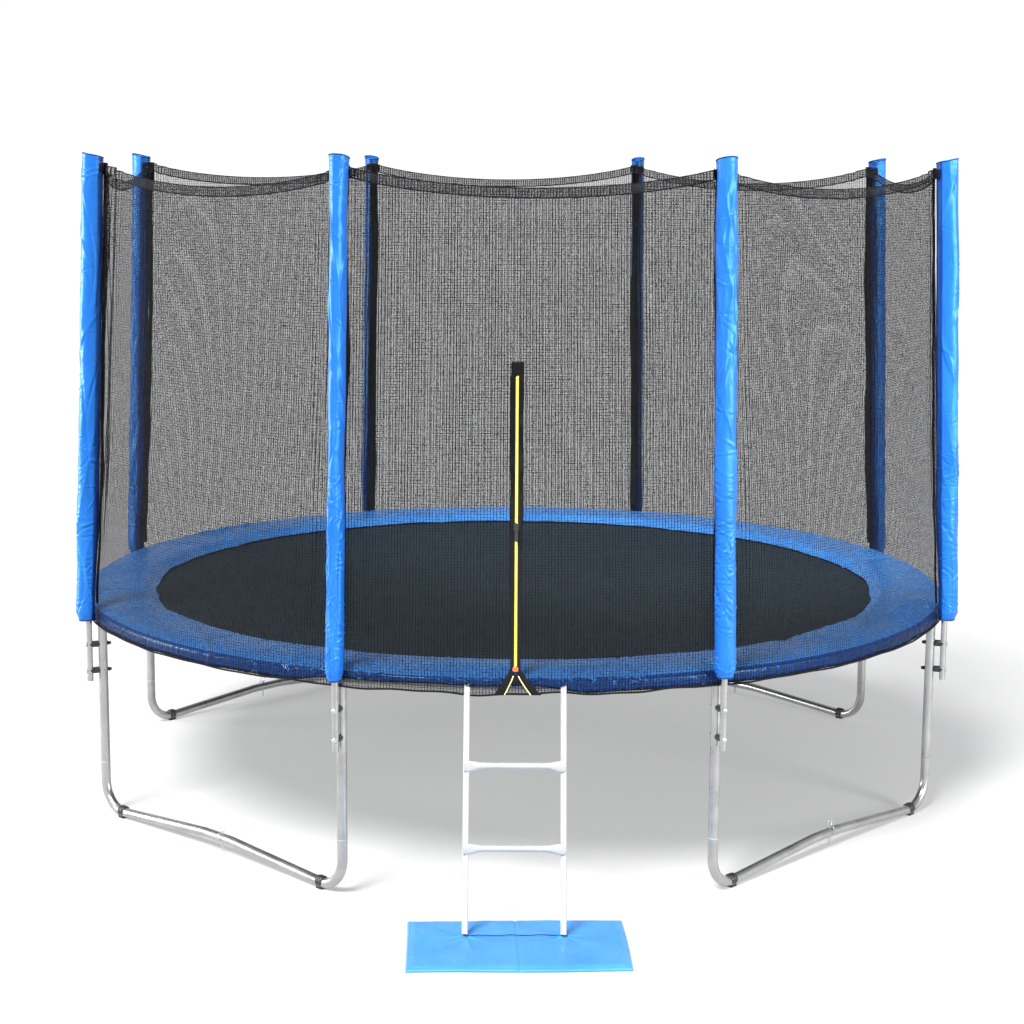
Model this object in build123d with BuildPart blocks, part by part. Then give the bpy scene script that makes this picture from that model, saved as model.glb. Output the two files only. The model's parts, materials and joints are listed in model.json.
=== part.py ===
from build123d import *
import os
from math import atan, cos, degrees, hypot, radians, sin, sqrt, tan

# Twelve foot round trampoline with an eight pole safety net, ladder and foot mat.
# Millimetres.  +Z is up, the origin is on the ground under the middle of the bed,
# and the ladder and the door in the net are on the -Y side.

# ---- driving dimensions ----
# top ring
ring_radius = 1830
ring_height = 825
ring_segments = 8
tube_radius = 19
tube_wall = 1.5
tube_slip = 0.2
swage_length = 55
swage_root = 6

# legs: four W-shaped legs, each one carrying two posts
leg_quarters = (-135, -45, 45, 135)
leg_half_span = 23.2
socket_end = 735
post_joint = 212
leg_bend_radius = 115
leg_rise = 4.0
leg_level_length = 70
leg_level_bend = 300
sole_thickness = 3
pin_radius = 3
pin_offset = 32

# enclosure poles
pole_offset = 54
pole_radius = 12.5
pole_foot = 559
pole_bend_start = 850
pole_bend_radius = 1500
pole_lean = 2.2
pole_split = 1540
pole_top = 2655
pole_bolt_heights = (602, 711)
bolt_radius = 4
foam_radius = 22.2
foam_foot = 752
sleeve_foot = 818
sleeve_top = 2683
sleeve_wall = 1.2
sleeve_inner_reach = 24
sleeve_outer_reach = 54
sleeve_half_width = 38

# bed
mat_radius = 1610
mat_thickness = 3
spring_count = 72
spring_phase = -89
spring_coil_radius = 11
spring_wire_radius = 1.6
spring_inner_end = 1672
spring_outer_end = 1792
spring_hole_radius = 4
v_ring_tip = 1652
v_ring_wire_radius = 2

# spring pad
pad_inner_radius = 1548
pad_outer_radius = 1853
pad_underside = 851
pad_thickness = 22
pad_skirt_foot = 835
pad_skirt = 1.2

# safety net
net_radius = 1854.8
net_thickness = 1.2
net_foot = 880
net_top = 2590
net_top_radius = 1790
net_band_height = 50
net_skirt_foot = 785
strap_width = 25

# door zip
door_angle = -91.76
zip_low = 897
zip_high = 1920
zip_tape_top = 1966
zip_slider_height = 1390
zip_tape_width = 50
zip_coil_width = 14

# ladder
ladder_half_width = 171
ladder_rail_radius = 11
ladder_lean = 20.9
hook_slip = 1.5
hook_strap = 2.5
hook_width = 20
hook_wrap = 165
rung_heights = (565, 297)

# foot mat
foot_mat_length = 760
foot_mat_width = 460
foot_mat_thickness = 18
foot_mat_y = -2218
foot_mat_x = -58

os.makedirs("parts", exist_ok=True)

# ---- derived sizes ----
tube_bore = tube_radius - tube_wall
swage_radius = tube_bore - tube_slip
post_angles = [quarter + side * leg_half_span for quarter in leg_quarters for side in (-1, 1)]
pole_ring_radius = ring_radius + pole_offset
spring_angles = [spring_phase + 360 / spring_count * turn for turn in range(spring_count)]


def save(piece, name):
    """Label a finished piece and write its STEP file."""
    piece.part.label = name
    export_step(piece.part, f"parts/{name}.step")


def turned(angle, radius=0):
    """Place on the circle of the given radius, local X pointing outward."""
    return Location((0, 0, 0), (0, 0, angle)) * Location((radius, 0, 0))


def swage(plane, outer=tube_radius, length=swage_length):
    """Necked tube end that enters the next tube, rooted just inside its own tube."""
    neck = outer - tube_wall - tube_slip
    root = plane.offset(-swage_root)
    with BuildPart() as end:
        with BuildSketch(root):
            Circle(neck)
            Circle(neck - tube_wall, mode=Mode.SUBTRACT)
        extrude(amount=swage_root + length)
        with BuildSketch(root):
            Circle(outer - tube_wall / 2)
            Circle(neck - tube_wall, mode=Mode.SUBTRACT)
        extrude(amount=swage_root)
    return end.part


# ---- top ring: eight bent tubes, each with a socket for a leg post ----
segment_arc = 360 / ring_segments
holes_per_segment = spring_count // ring_segments


def top_rail(start, post_angle):
    """Ring tube from the angle start on, with a post socket and spring holes."""
    swage_arc = degrees(swage_length / ring_radius)
    root_arc = degrees(swage_root / ring_radius)
    section = Plane.XZ.rotated((0, 0, start))
    with BuildPart() as rail:
        with BuildSketch(section):
            with Locations((ring_radius, ring_height)):
                Circle(tube_radius)
        revolve(axis=Axis.Z, revolution_arc=segment_arc)
        with Locations(turned(post_angle, ring_radius) * Location((0, 0, socket_end))):
            Cylinder(tube_radius, ring_height - socket_end, align=(Align.CENTER, Align.CENTER, Align.MIN))
        with BuildSketch(section):
            with Locations((ring_radius, ring_height)):
                Circle(tube_bore)
        revolve(axis=Axis.Z, revolution_arc=segment_arc, mode=Mode.SUBTRACT)
        with Locations(turned(post_angle, ring_radius) * Location((0, 0, socket_end))):
            Cylinder(
                tube_bore,
                ring_height - socket_end - tube_wall,
                align=(Align.CENTER, Align.CENTER, Align.MIN),
                mode=Mode.SUBTRACT,
            )
        with BuildSketch(Plane.XZ.rotated((0, 0, start - swage_arc))):
            with Locations((ring_radius, ring_height)):
                Circle(swage_radius)
                Circle(swage_radius - tube_wall, mode=Mode.SUBTRACT)
        revolve(axis=Axis.Z, revolution_arc=swage_arc + root_arc)
        with BuildSketch(section):
            with Locations((ring_radius, ring_height)):
                Circle(tube_radius - tube_wall / 2)
                Circle(swage_radius - tube_wall, mode=Mode.SUBTRACT)
        revolve(axis=Axis.Z, revolution_arc=root_arc)
        holes = [angle for angle in spring_angles if 0 < (angle - start) % 360 < segment_arc]
        with Locations(*[turned(a, ring_radius - tube_radius) * Location((0, 0, ring_height)) for a in holes]):
            Cylinder(spring_hole_radius, tube_radius, rotation=(0, 90, 0), mode=Mode.SUBTRACT)
    return rail


for number in range(ring_segments):
    rail_start = -180 + number * segment_arc
    save(top_rail(rail_start, post_angles[number]), f"top_rail_{number + 1}")

# ---- leg posts: straight tubes between the sockets and the leg bases ----
post_swage = swage(Plane.XY.offset(socket_end))
with BuildPart() as post_blank:
    with BuildSketch(Plane.XY.offset(post_joint)):
        Circle(tube_radius)
        Circle(tube_bore, mode=Mode.SUBTRACT)
    extrude(amount=socket_end - post_joint)
    add(post_swage)
    with Locations(*[Location((0, 0, height)) for height in pole_bolt_heights]):
        Cylinder(bolt_radius + tube_slip, 3 * tube_radius, rotation=(0, 90, 0), mode=Mode.SUBTRACT)

for number, angle in enumerate(post_angles, 1):
    with BuildPart() as leg_post:
        with Locations(turned(angle, ring_radius)):
            add(post_blank.part)
    save(leg_post, f"leg_post_{number}")

# ---- leg bases: bent tubes that meet in the middle of each W-shaped leg ----
chord_half = ring_radius * sin(radians(leg_half_span))
chord_distance = ring_radius * cos(radians(leg_half_span))
base_low = sole_thickness + tube_radius
bend_run = leg_bend_radius * (1 + sin(radians(leg_rise)))
level_run = leg_level_length + leg_level_bend * sin(radians(leg_rise))
slope_run = chord_half - bend_run - level_run
base_mid = (
    base_low
    + (leg_bend_radius + leg_level_bend) * (1 - cos(radians(leg_rise)))
    + slope_run * tan(radians(leg_rise))
)


base_top_swage = swage(Plane((0, -chord_half, post_joint), z_dir=(0, 0, 1)))
base_end_swage = swage(Plane((0, 0, base_mid), z_dir=(0, 1, 0)))


def leg_base(with_swage):
    """Left half of a leg in the YZ plane: post joint, bend, gentle rise, level end."""
    with BuildPart() as base:
        with BuildLine(Plane.YZ) as path:
            drop = Line((-chord_half, post_joint), (-chord_half, base_low + leg_bend_radius))
            bend = JernArc(drop @ 1, drop % 1, leg_bend_radius, 90 + leg_rise)
            slope = PolarLine(bend @ 1, slope_run / cos(radians(leg_rise)), direction=bend % 1)
            level = JernArc(slope @ 1, slope % 1, leg_level_bend, -leg_rise)
            Line(level @ 1, (0, base_mid))
        with BuildSketch(Plane(path.line @ 0, z_dir=path.line % 0)):
            Circle(tube_radius)
            Circle(tube_bore, mode=Mode.SUBTRACT)
        sweep()
        add(base_top_swage)
        if with_swage:
            add(base_end_swage)
        pin_y = pin_offset if with_swage else -pin_offset
        with Locations((0, pin_y, base_mid)):
            Cylinder(pin_radius + 0.5, 3 * tube_radius, mode=Mode.SUBTRACT)
    return base


base_with_swage = leg_base(True)
base_with_bore = leg_base(False)
for number, quarter in enumerate(leg_quarters):
    with BuildPart() as left_base:
        with Locations(turned(quarter, chord_distance)):
            add(base_with_swage.part)
    save(left_base, f"leg_base_{2 * number + 1}")
    with BuildPart() as right_base:
        with Locations(turned(quarter, chord_distance)):
            add(mirror(base_with_bore.part, about=Plane.XZ, mode=Mode.PRIVATE))
    save(right_base, f"leg_base_{2 * number + 2}")

# ---- hitch pins through the middle joints of the legs ----
pin_head = base_mid + tube_radius + 0.4
pin_tip = 8
pin_ring_radius = 13
pin_wire_radius = 1.5
pin_guard_reach = tube_radius + 5
with BuildPart() as pin_blank:
    with Locations((0, pin_offset, pin_tip)):
        Cylinder(pin_radius, pin_head + 6 - pin_tip, align=(Align.CENTER, Align.CENTER, Align.MIN))
    with Locations((0, pin_offset, pin_head)):
        Cylinder(pin_radius + 2.5, 6, align=(Align.CENTER, Align.CENTER, Align.MIN))
    with Locations((0, pin_offset, pin_head + 5 + pin_ring_radius)):
        Torus(pin_ring_radius, pin_wire_radius, rotation=(0, 90, 0))
    with BuildLine(Plane.XZ.offset(-pin_offset)) as guard:
        FilletPolyline(
            (0, pin_head + 3),
            (pin_guard_reach, pin_head + 3),
            (pin_guard_reach, base_mid - 6),
            radius=8,
        )
    with BuildSketch(Plane(guard.line @ 0, z_dir=guard.line % 0)):
        Circle(pin_wire_radius)
    sweep()

for number, quarter in enumerate(leg_quarters, 1):
    with BuildPart() as leg_pin:
        with Locations(turned(quarter, chord_distance)):
            add(pin_blank.part)
    save(leg_pin, f"leg_pin_{number}")

# ---- foot caps: black saddles under the lowest stretch of each leg base ----
cap_length = 62
cap_width = 46
cap_height = 30
with BuildPart() as foot_cap:
    with BuildSketch(Plane.XY):
        RectangleRounded(cap_width, cap_length, 6)
    extrude(amount=cap_height)
    with Locations((0, 0, base_low)):
        Cylinder(tube_radius + 0.3, 2 * cap_length, rotation=(90, 0, 0), mode=Mode.SUBTRACT)
    with Locations((0, 0, base_low)):
        Box(
            2 * tube_radius + 0.6,
            2 * cap_length,
            cap_height,
            align=(Align.CENTER, Align.CENTER, Align.MIN),
            mode=Mode.SUBTRACT,
        )

with BuildPart() as foot_caps:
    cap_y = chord_half - leg_bend_radius
    with Locations(*[turned(q, chord_distance) * Location((0, s * cap_y, 0)) for q in leg_quarters for s in (-1, 1)]):
        add(foot_cap.part)
save(foot_caps, "foot_caps")

# ---- enclosure poles: upright where they are bolted on, then leaning inward ----
lean_tan = tan(radians(pole_lean))
lean_start_radius = pole_ring_radius - pole_bend_radius * (1 - cos(radians(pole_lean)))
lean_start_height = pole_bend_start + pole_bend_radius * sin(radians(pole_lean))


def lean_radius(height):
    """Distance of the leaning part of a pole from the middle at a height."""
    return lean_start_radius - (height - lean_start_height) * lean_tan


def lean_point(height):
    return (lean_radius(height), height)


def lean_plane(height, across=0.0):
    """Plane square to the leaning pole, local X pointing outward."""
    return Plane(
        origin=(lean_radius(height) + across, 0, height),
        x_dir=(cos(radians(pole_lean)), 0, sin(radians(pole_lean))),
        z_dir=(-sin(radians(pole_lean)), 0, cos(radians(pole_lean))),
    )


def lean_length(low, high):
    return (high - low) / cos(radians(pole_lean))


pole_bore = pole_radius - tube_wall
pole_swage = swage(lean_plane(pole_split), pole_radius)



def pole_path(foot, top):
    """Line of a pole between two heights: upright, a slight bend, then leaning."""
    with BuildLine(Plane.XZ) as path:
        upright = Line((pole_ring_radius, foot), (pole_ring_radius, pole_bend_start))
        bend = JernArc(upright @ 1, upright % 1, pole_bend_radius, pole_lean)
        Line(bend @ 1, lean_point(top))
    return path.line


lower_path = pole_path(pole_foot, pole_split)
foam_path = pole_path(foam_foot, pole_top - 10)
sleeve_path = pole_path(sleeve_foot, sleeve_top)

with BuildPart() as pole_lower:
    with BuildSketch(Plane.XY.offset(pole_foot)):
        with Locations((pole_ring_radius, 0)):
            Circle(pole_radius)
            Circle(pole_bore, mode=Mode.SUBTRACT)
    sweep(path=lower_path)
    add(pole_swage)
    with Locations(*[(pole_ring_radius, 0, height) for height in pole_bolt_heights]):
        Cylinder(bolt_radius + tube_slip, 3 * pole_radius, rotation=(0, 90, 0), mode=Mode.SUBTRACT)

with BuildPart() as pole_upper:
    with BuildSketch(lean_plane(pole_split)):
        Circle(pole_radius)
        Circle(pole_bore, mode=Mode.SUBTRACT)
    extrude(amount=lean_length(pole_split, pole_top))

with BuildPart() as pole_cap:
    with BuildSketch(lean_plane(pole_top)):
        Circle(pole_radius + 1)
    extrude(amount=5)
    with BuildSketch(lean_plane(pole_top)):
        Circle(pole_bore - tube_slip)
    extrude(amount=-20)
    fillet(pole_cap.faces().sort_by(Axis.Z)[-1].edges(), 2.5)

with BuildPart() as foam_tube:
    with BuildSketch(Plane.XY.offset(foam_foot)):
        with Locations((pole_ring_radius, 0)):
            Circle(foam_radius)
            Circle(pole_radius + tube_slip, mode=Mode.SUBTRACT)
    sweep(path=foam_path)

sleeve_shift = (sleeve_outer_reach - sleeve_inner_reach) / 2
sleeve_half_depth = (sleeve_outer_reach + sleeve_inner_reach) / 2
with BuildPart() as sleeve_tube:
    with BuildSketch(Plane.XY.offset(sleeve_foot)):
        with Locations((pole_ring_radius + sleeve_shift, 0)):
            Ellipse(sleeve_half_depth, sleeve_half_width)
            Ellipse(sleeve_half_depth - sleeve_wall, sleeve_half_width - sleeve_wall, mode=Mode.SUBTRACT)
    sweep(path=sleeve_path)

spacer_radius = 13
with BuildPart() as pole_spacer:
    with Locations((ring_radius + pole_offset / 2, 0, 0)):
        Cylinder(spacer_radius, pole_offset, rotation=(0, 90, 0))
    with Locations((ring_radius, 0, 0)):
        Cylinder(tube_radius + 0.1, 4 * spacer_radius, mode=Mode.SUBTRACT)
    with Locations((pole_ring_radius, 0, 0)):
        Cylinder(pole_radius + 0.1, 4 * spacer_radius, mode=Mode.SUBTRACT)
    with Locations((ring_radius + pole_offset / 2, 0, 0)):
        Cylinder(bolt_radius + tube_slip, 2 * pole_offset, rotation=(0, 90, 0), mode=Mode.SUBTRACT)

bolt_tip = ring_radius - tube_radius - 13
bolt_seat = pole_ring_radius + pole_radius + 0.3
bolt_head_radius = 9
bolt_head_height = 5
with BuildPart() as pole_bolt:
    with BuildSketch(Plane.XZ):
        with BuildLine():
            shank = Polyline(
                (bolt_tip, 0),
                (bolt_tip, bolt_radius),
                (bolt_seat, bolt_radius),
                (bolt_seat, bolt_head_radius),
                (bolt_seat + 1, bolt_head_radius),
            )
            dome = Polyline(
                shank @ 1,
                (bolt_seat + 0.7 * bolt_head_height, 0.7 * bolt_head_radius),
                (bolt_seat + bolt_head_height, 0.25 * bolt_head_radius),
                (bolt_seat + bolt_head_height, 0),
            )
            Line(dome @ 1, shank @ 0)
        make_face()
    revolve(axis=Axis.X)

nut_height = 9
nut_seat = ring_radius - tube_radius - 0.3
with BuildPart() as pole_nut:
    with BuildSketch(Plane.YZ.offset(nut_seat)):
        RegularPolygon(8, 6)
    extrude(amount=-nut_height)
    with BuildSketch(Plane.YZ.offset(nut_seat - nut_height)):
        Circle(6.5)
    extrude(amount=-6, taper=15)
    with Locations((bolt_tip - 0.5, 0, 0)):
        Cylinder(
            bolt_radius + 0.1,
            nut_seat - bolt_tip + 1,
            rotation=(0, 90, 0),
            align=(Align.CENTER, Align.CENTER, Align.MIN),
            mode=Mode.SUBTRACT,
        )

pole_sets = {
    "pole_lowers": pole_lower,
    "pole_uppers": pole_upper,
    "pole_caps": pole_cap,
    "pole_foam": foam_tube,
    "pole_sleeves": sleeve_tube,
}
for name, single in pole_sets.items():
    with BuildPart() as group:
        with Locations(*[turned(angle) for angle in post_angles]):
            add(single.part)
    save(group, name)

bolt_places = [turned(angle) * Location((0, 0, height)) for angle in post_angles for height in pole_bolt_heights]
for name, single in {"pole_spacers": pole_spacer, "pole_bolts": pole_bolt, "pole_nuts": pole_nut}.items():
    with BuildPart() as group:
        with Locations(*bolt_places):
            add(single.part)
    save(group, name)

# ---- bed: jump mat, its V-shaped rings and the springs to the top ring ----
with BuildPart() as jump_mat:
    with BuildSketch(Plane.XY.offset(ring_height - mat_thickness / 2)):
        Circle(mat_radius)
    extrude(amount=mat_thickness)
save(jump_mat, "jump_mat")

v_ring_base = mat_radius + v_ring_wire_radius + 1
v_ring_half = 16
with BuildPart() as v_ring:
    with BuildLine(Plane.XY.offset(ring_height)) as v_loop:
        FilletPolyline(
            (v_ring_base, v_ring_half),
            (v_ring_tip, 3),
            (v_ring_tip, -3),
            (v_ring_base, -v_ring_half),
            radius=2.5,
            close=True,
        )
    with BuildSketch(Plane(v_loop.line @ 0, z_dir=v_loop.line % 0)):
        Circle(v_ring_wire_radius)
    sweep()

with BuildPart() as v_rings:
    with Locations(*[turned(angle) for angle in spring_angles]):
        add(v_ring.part)
save(v_rings, "v_rings")

# A spring is a close wound coil: a thick walled tube with a wire hook at each end.
hook_loop_radius = 6
hook_loop_centre = v_ring_tip + hook_loop_radius - v_ring_wire_radius - spring_wire_radius - 0.4
with BuildPart() as spring:
    with BuildSketch(Plane.YZ.offset(spring_inner_end)):
        with Locations((0, ring_height)):
            Circle(spring_coil_radius)
            Circle(spring_coil_radius - 2 * spring_wire_radius, mode=Mode.SUBTRACT)
    extrude(amount=spring_outer_end - spring_inner_end)
    with BuildSketch(Plane.YZ.offset(spring_inner_end)):
        with Locations((0, ring_height)):
            Circle(spring_coil_radius - spring_wire_radius)
    extrude(amount=2 * spring_wire_radius)
    with BuildSketch(Plane.YZ.offset(spring_outer_end)):
        with Locations((0, ring_height)):
            Circle(spring_coil_radius - spring_wire_radius)
    extrude(amount=-2 * spring_wire_radius)
    with BuildLine(Plane.XZ) as inner_hook:
        stem = Line(
            (spring_inner_end + spring_wire_radius, ring_height + hook_loop_radius),
            (hook_loop_centre, ring_height + hook_loop_radius),
        )
        JernArc(stem @ 1, stem % 1, hook_loop_radius, 215)
    with BuildSketch(Plane(inner_hook.line @ 0, z_dir=inner_hook.line % 0)):
        Circle(spring_wire_radius)
    sweep()
    with BuildLine(Plane.XZ) as outer_hook:
        FilletPolyline(
            (spring_outer_end - spring_wire_radius, ring_height),
            (ring_radius - tube_bore + 6, ring_height),
            (ring_radius - tube_bore + 6, ring_height - 8),
            radius=3,
        )
    with BuildSketch(Plane(outer_hook.line @ 0, z_dir=outer_hook.line % 0)):
        Circle(spring_wire_radius)
    sweep()

with BuildPart() as springs:
    with Locations(*[turned(angle) for angle in spring_angles]):
        add(spring.part)
save(springs, "springs")

# ---- ladder frame: hinge line along the chord between the two hooks ----
out_x, out_y = cos(radians(door_angle)), sin(radians(door_angle))
hinge_distance = sqrt(ring_radius**2 - ladder_half_width**2)
hinge_point = Vector(hinge_distance * out_x, hinge_distance * out_y, ring_height)
across = Vector(-out_y, out_x, 0)
lean_cos, lean_sin = cos(radians(ladder_lean)), sin(radians(ladder_lean))
ladder_normal = Vector(out_x * lean_cos, out_y * lean_cos, lean_sin)
ladder_plane = Plane(origin=hinge_point, x_dir=across, z_dir=ladder_normal)
hook_inner = tube_radius + hook_slip
hook_outer = hook_inner + hook_strap
hook_window = hook_width + 10
hook_window_height = 52

# ---- spring pad: one sewn ring with a short skirt outside the top ring ----
skirt_outer = pad_outer_radius + pad_skirt
pad_top = pad_underside + pad_thickness
with BuildPart() as spring_pad:
    with BuildSketch(Plane.XZ):
        with BuildLine():
            Polyline(
                (pad_inner_radius, pad_underside),
                (pad_outer_radius, pad_underside),
                (pad_outer_radius, pad_skirt_foot),
                (skirt_outer, pad_skirt_foot),
                (skirt_outer, pad_top - 6),
                (pad_outer_radius - 40, pad_top),
                (pad_inner_radius + 40, pad_top),
                (pad_inner_radius, pad_underside + 8),
                close=True,
            )
        make_face()
    revolve(axis=Axis.Z)
    with Locations(
        *[turned(door_angle, pad_outer_radius) * Location((0, s * ladder_half_width, pad_skirt_foot)) for s in (-1, 1)]
    ):
        Box(60, hook_window, 2 * (pad_underside - pad_skirt_foot), mode=Mode.SUBTRACT)
save(spring_pad, "spring_pad")

# ---- safety net: eight panels, round at the ring and straight at the top ----
net_edge = 0.04


def arc_band(radius, thickness, start, end):
    """Thin curved strip in plan between two angles."""
    with BuildSketch() as band:
        with BuildLine():
            inner = CenterArc((0, 0), radius, start, end - start)
            outer = CenterArc((0, 0), radius + thickness, start, end - start)
            Line(inner @ 0, outer @ 0)
            Line(inner @ 1, outer @ 1)
        make_face()
    return band.sketch


def chord_band(radius, thickness, start, end):
    """Thin straight strip in plan between two angles."""
    corners = []
    for reach, angle in ((radius, start), (radius + thickness, start), (radius + thickness, end), (radius, end)):
        corners.append((reach * cos(radians(angle)), reach * sin(radians(angle))))
    with BuildSketch() as band:
        with BuildLine():
            Polyline(*corners, close=True)
        make_face()
    return band.sketch


panel_angles = [(post_angles[i], post_angles[(i + 1) % 8] + (360 if i == 7 else 0)) for i in range(8)]
front_panel = min(range(8), key=lambda i: abs(sum(panel_angles[i]) / 2 + 90))
hook_windows = [
    turned(door_angle, hinge_distance + hook_outer) * Location((0, side * ladder_half_width, ring_height))
    for side in (-1, 1)
]

net_edges = [(start + net_edge, end - net_edge) for start, end in panel_angles]
net_seam = 0.4
net_seam_angles = [start + (end - start) * share for start, end in panel_angles for share in (1 / 3, 2 / 3)]
net_seams = [turned(angle, net_radius) for angle in net_seam_angles]
panel_feet = [arc_band(net_radius, net_thickness, *edges) for edges in net_edges]
panel_tops = [chord_band(net_top_radius, net_thickness, *edges) for edges in net_edges]
with BuildPart() as net_panels:
    for foot, top in zip(panel_feet, panel_tops):
        with BuildSketch(Plane.XY.offset(net_foot)):
            add(foot)
        with BuildSketch(Plane.XY.offset(net_top)):
            add(top)
        loft(ruled=True)
    with Locations(*net_seams):
        Box(600, net_seam, 2 * (net_top + 10), mode=Mode.SUBTRACT)
save(net_panels, "net_panels")

band_trim = 0.6
band_strips = [
    chord_band(net_top_radius, net_thickness + 0.4, start + band_trim, end - band_trim) for start, end in panel_angles
]
with BuildPart() as net_top_band:
    with BuildSketch(Plane.XY.offset(net_top)):
        add(band_strips)
    extrude(amount=net_band_height)
save(net_top_band, "net_top_band")

skirt_strips = [arc_band(net_radius, net_thickness, *edges) for edges in net_edges]
with BuildPart() as net_skirt:
    with BuildSketch(Plane.XY.offset(net_skirt_foot)):
        add(skirt_strips)
    extrude(amount=net_foot - net_skirt_foot)
    with Locations(*hook_windows):
        Box(60, hook_window, hook_window_height, mode=Mode.SUBTRACT)
    with Locations(*net_seams):
        Box(60, net_seam, 2 * net_foot, mode=Mode.SUBTRACT)
save(net_skirt, "net_skirt")

with BuildPart() as net_ties:
    with Locations(*[turned(a, net_top_radius - 4) * Location((0, 0, net_top + net_band_height / 2)) for a in post_angles]):
        Box(6, 24, net_band_height * 0.8)
save(net_ties, "net_ties")

strap_gap = 8
strap_foot = pad_top + 6
strap_top = net_top - 8
net_slope = (net_radius - net_top_radius) / (net_top - net_foot)


def strap_plane(angle):
    """Plane square to the net's edge at a pole, at the lower end of the strap."""
    reach = net_radius - (strap_foot - net_foot) * net_slope - strap_gap
    out = Vector(cos(radians(angle)), sin(radians(angle)), 0)
    rise = Vector(-out.X * net_slope, -out.Y * net_slope, 1)
    return Plane(origin=out * reach + Vector(0, 0, strap_foot), x_dir=Vector(-out.Y, out.X, 0), z_dir=rise)


with BuildPart() as pole_straps:
    for angle in post_angles:
        with BuildSketch(strap_plane(angle)):
            Rectangle(strap_width, net_thickness)
        extrude(amount=(strap_top - strap_foot) * hypot(1, net_slope))
save(pole_straps, "pole_straps")

# ---- door zip: tape, coil, slider and stop on the outside of the front panel ----
front_start, front_end = panel_angles[front_panel]
door_share = (door_angle - front_start) / (front_end - front_start)
door_tilt = radians(door_angle - (front_start + front_end) / 2)
front_half_arc = radians((front_end - front_start) / 2)
top_distance = (net_top_radius + net_thickness) * cos(front_half_arc) / cos(door_tilt)
door_foot_distance = net_radius + net_thickness
door_lean = atan((door_foot_distance - top_distance) / (net_top - net_foot))
zip_clear = 1.0
out_normal = Vector(out_x * cos(door_lean), out_y * cos(door_lean), sin(door_lean))
up_door = Vector(-out_x * sin(door_lean), -out_y * sin(door_lean), cos(door_lean))
door_origin = Vector(out_x * door_foot_distance, out_y * door_foot_distance, net_foot) + out_normal * zip_clear
door_plane = Plane(origin=door_origin, x_dir=across, z_dir=out_normal)


def door_up(height):
    """Distance along the door from the foot of the net to a height."""
    return (height - net_foot) / cos(door_lean)


tape_thickness = 1.0
tape_foot = net_foot + 2
with BuildPart() as zip_tape:
    with BuildSketch(door_plane):
        with BuildLine():
            Polyline(
                (-zip_tape_width / 2, door_up(tape_foot)),
                (zip_tape_width / 2, door_up(tape_foot)),
                (zip_tape_width / 2, door_up(zip_tape_top)),
                (-zip_tape_width / 2, door_up(zip_tape_top)),
                close=True,
            )
        make_face()
    extrude(amount=tape_thickness)
save(zip_tape, "zip_tape")

flap_foot = 796
flap_plane = Plane(
    origin=(out_x * (door_foot_distance + zip_clear), out_y * (door_foot_distance + zip_clear), 0),
    x_dir=across,
    z_dir=(out_x, out_y, 0),
)
with BuildPart() as door_flaps:
    with BuildSketch(flap_plane):
        with BuildLine():
            Polyline(
                (-zip_tape_width / 2, tape_foot - 1),
                (-75, flap_foot),
                (-45, flap_foot),
                (0, tape_foot - 22),
                (50, flap_foot),
                (80, flap_foot),
                (zip_tape_width / 2, tape_foot - 1),
                close=True,
            )
        make_face()
    extrude(amount=tape_thickness)
save(door_flaps, "door_flaps")

coil_base = door_plane.offset(tape_thickness + 0.1)
coil_thickness = 2.2
with BuildPart() as zip_coil:
    with BuildSketch(coil_base):
        with Locations((0, (door_up(zip_low) + door_up(zip_high)) / 2)):
            Rectangle(zip_coil_width, door_up(zip_high) - door_up(zip_low))
    extrude(amount=coil_thickness)
save(zip_coil, "zip_coil")

with BuildPart() as zip_stop:
    with BuildSketch(door_plane.offset(tape_thickness + 0.1)):
        with Locations((0, door_up(zip_low) - 8)):
            RectangleRounded(zip_coil_width + 6, 14, 3)
    extrude(amount=5)
save(zip_stop, "zip_stop")

slider_length = 26
slider_gap = 0.4
slider_top = coil_thickness + slider_gap + 3
post_height = 6
pull_bar_radius = 1.5
pull_bar_height = 4
pull_bar_y = door_up(zip_slider_height) + 3
pull_plane = coil_base.offset(slider_top + pull_bar_height)
bar_centre = pull_plane.origin + up_door * pull_bar_y
bar_plane = Plane(origin=bar_centre, x_dir=up_door, z_dir=across)
with BuildPart() as zip_slider:
    with BuildSketch(coil_base.offset(coil_thickness + slider_gap)):
        with Locations((0, door_up(zip_slider_height))):
            RectangleRounded(zip_coil_width + 6, slider_length, 4)
    extrude(amount=3)
    with BuildSketch(coil_base.offset(slider_top)):
        with Locations(*[(side * 5, pull_bar_y) for side in (-1, 1)]):
            Rectangle(2, 8)
    extrude(amount=post_height)
    with BuildSketch(bar_plane):
        Circle(pull_bar_radius)
    extrude(amount=5, both=True)
save(zip_slider, "zip_slider")

pull_length = 48
pull_eye_radius = 3.2
pull_neck_width = 6.5
with BuildPart() as zip_pull:
    with BuildSketch(pull_plane.offset(-1)):
        with Locations((0, pull_bar_y - 7 - pull_length / 2)):
            RectangleRounded(12, pull_length, 4)
        with Locations((0, pull_bar_y - 6)):
            Rectangle(pull_neck_width, 8)
    extrude(amount=2)
    with BuildSketch(bar_plane):
        Circle(pull_eye_radius)
    extrude(amount=pull_neck_width / 2, both=True)
    with BuildSketch(bar_plane):
        Circle(pull_bar_radius + 0.4)
    extrude(amount=pull_neck_width, both=True, mode=Mode.SUBTRACT)
save(zip_pull, "zip_pull")

# ---- ladder ----
rail_axis = hook_outer + ladder_rail_radius
rail_top = -35
mat_clearance = 1.5
rail_end_height = foot_mat_thickness + mat_clearance + ladder_rail_radius * lean_sin
rail_foot = -(ring_height + rail_axis * lean_sin - rail_end_height) / lean_cos
rail_split = -330
ladder_wall = 1.2


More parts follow.
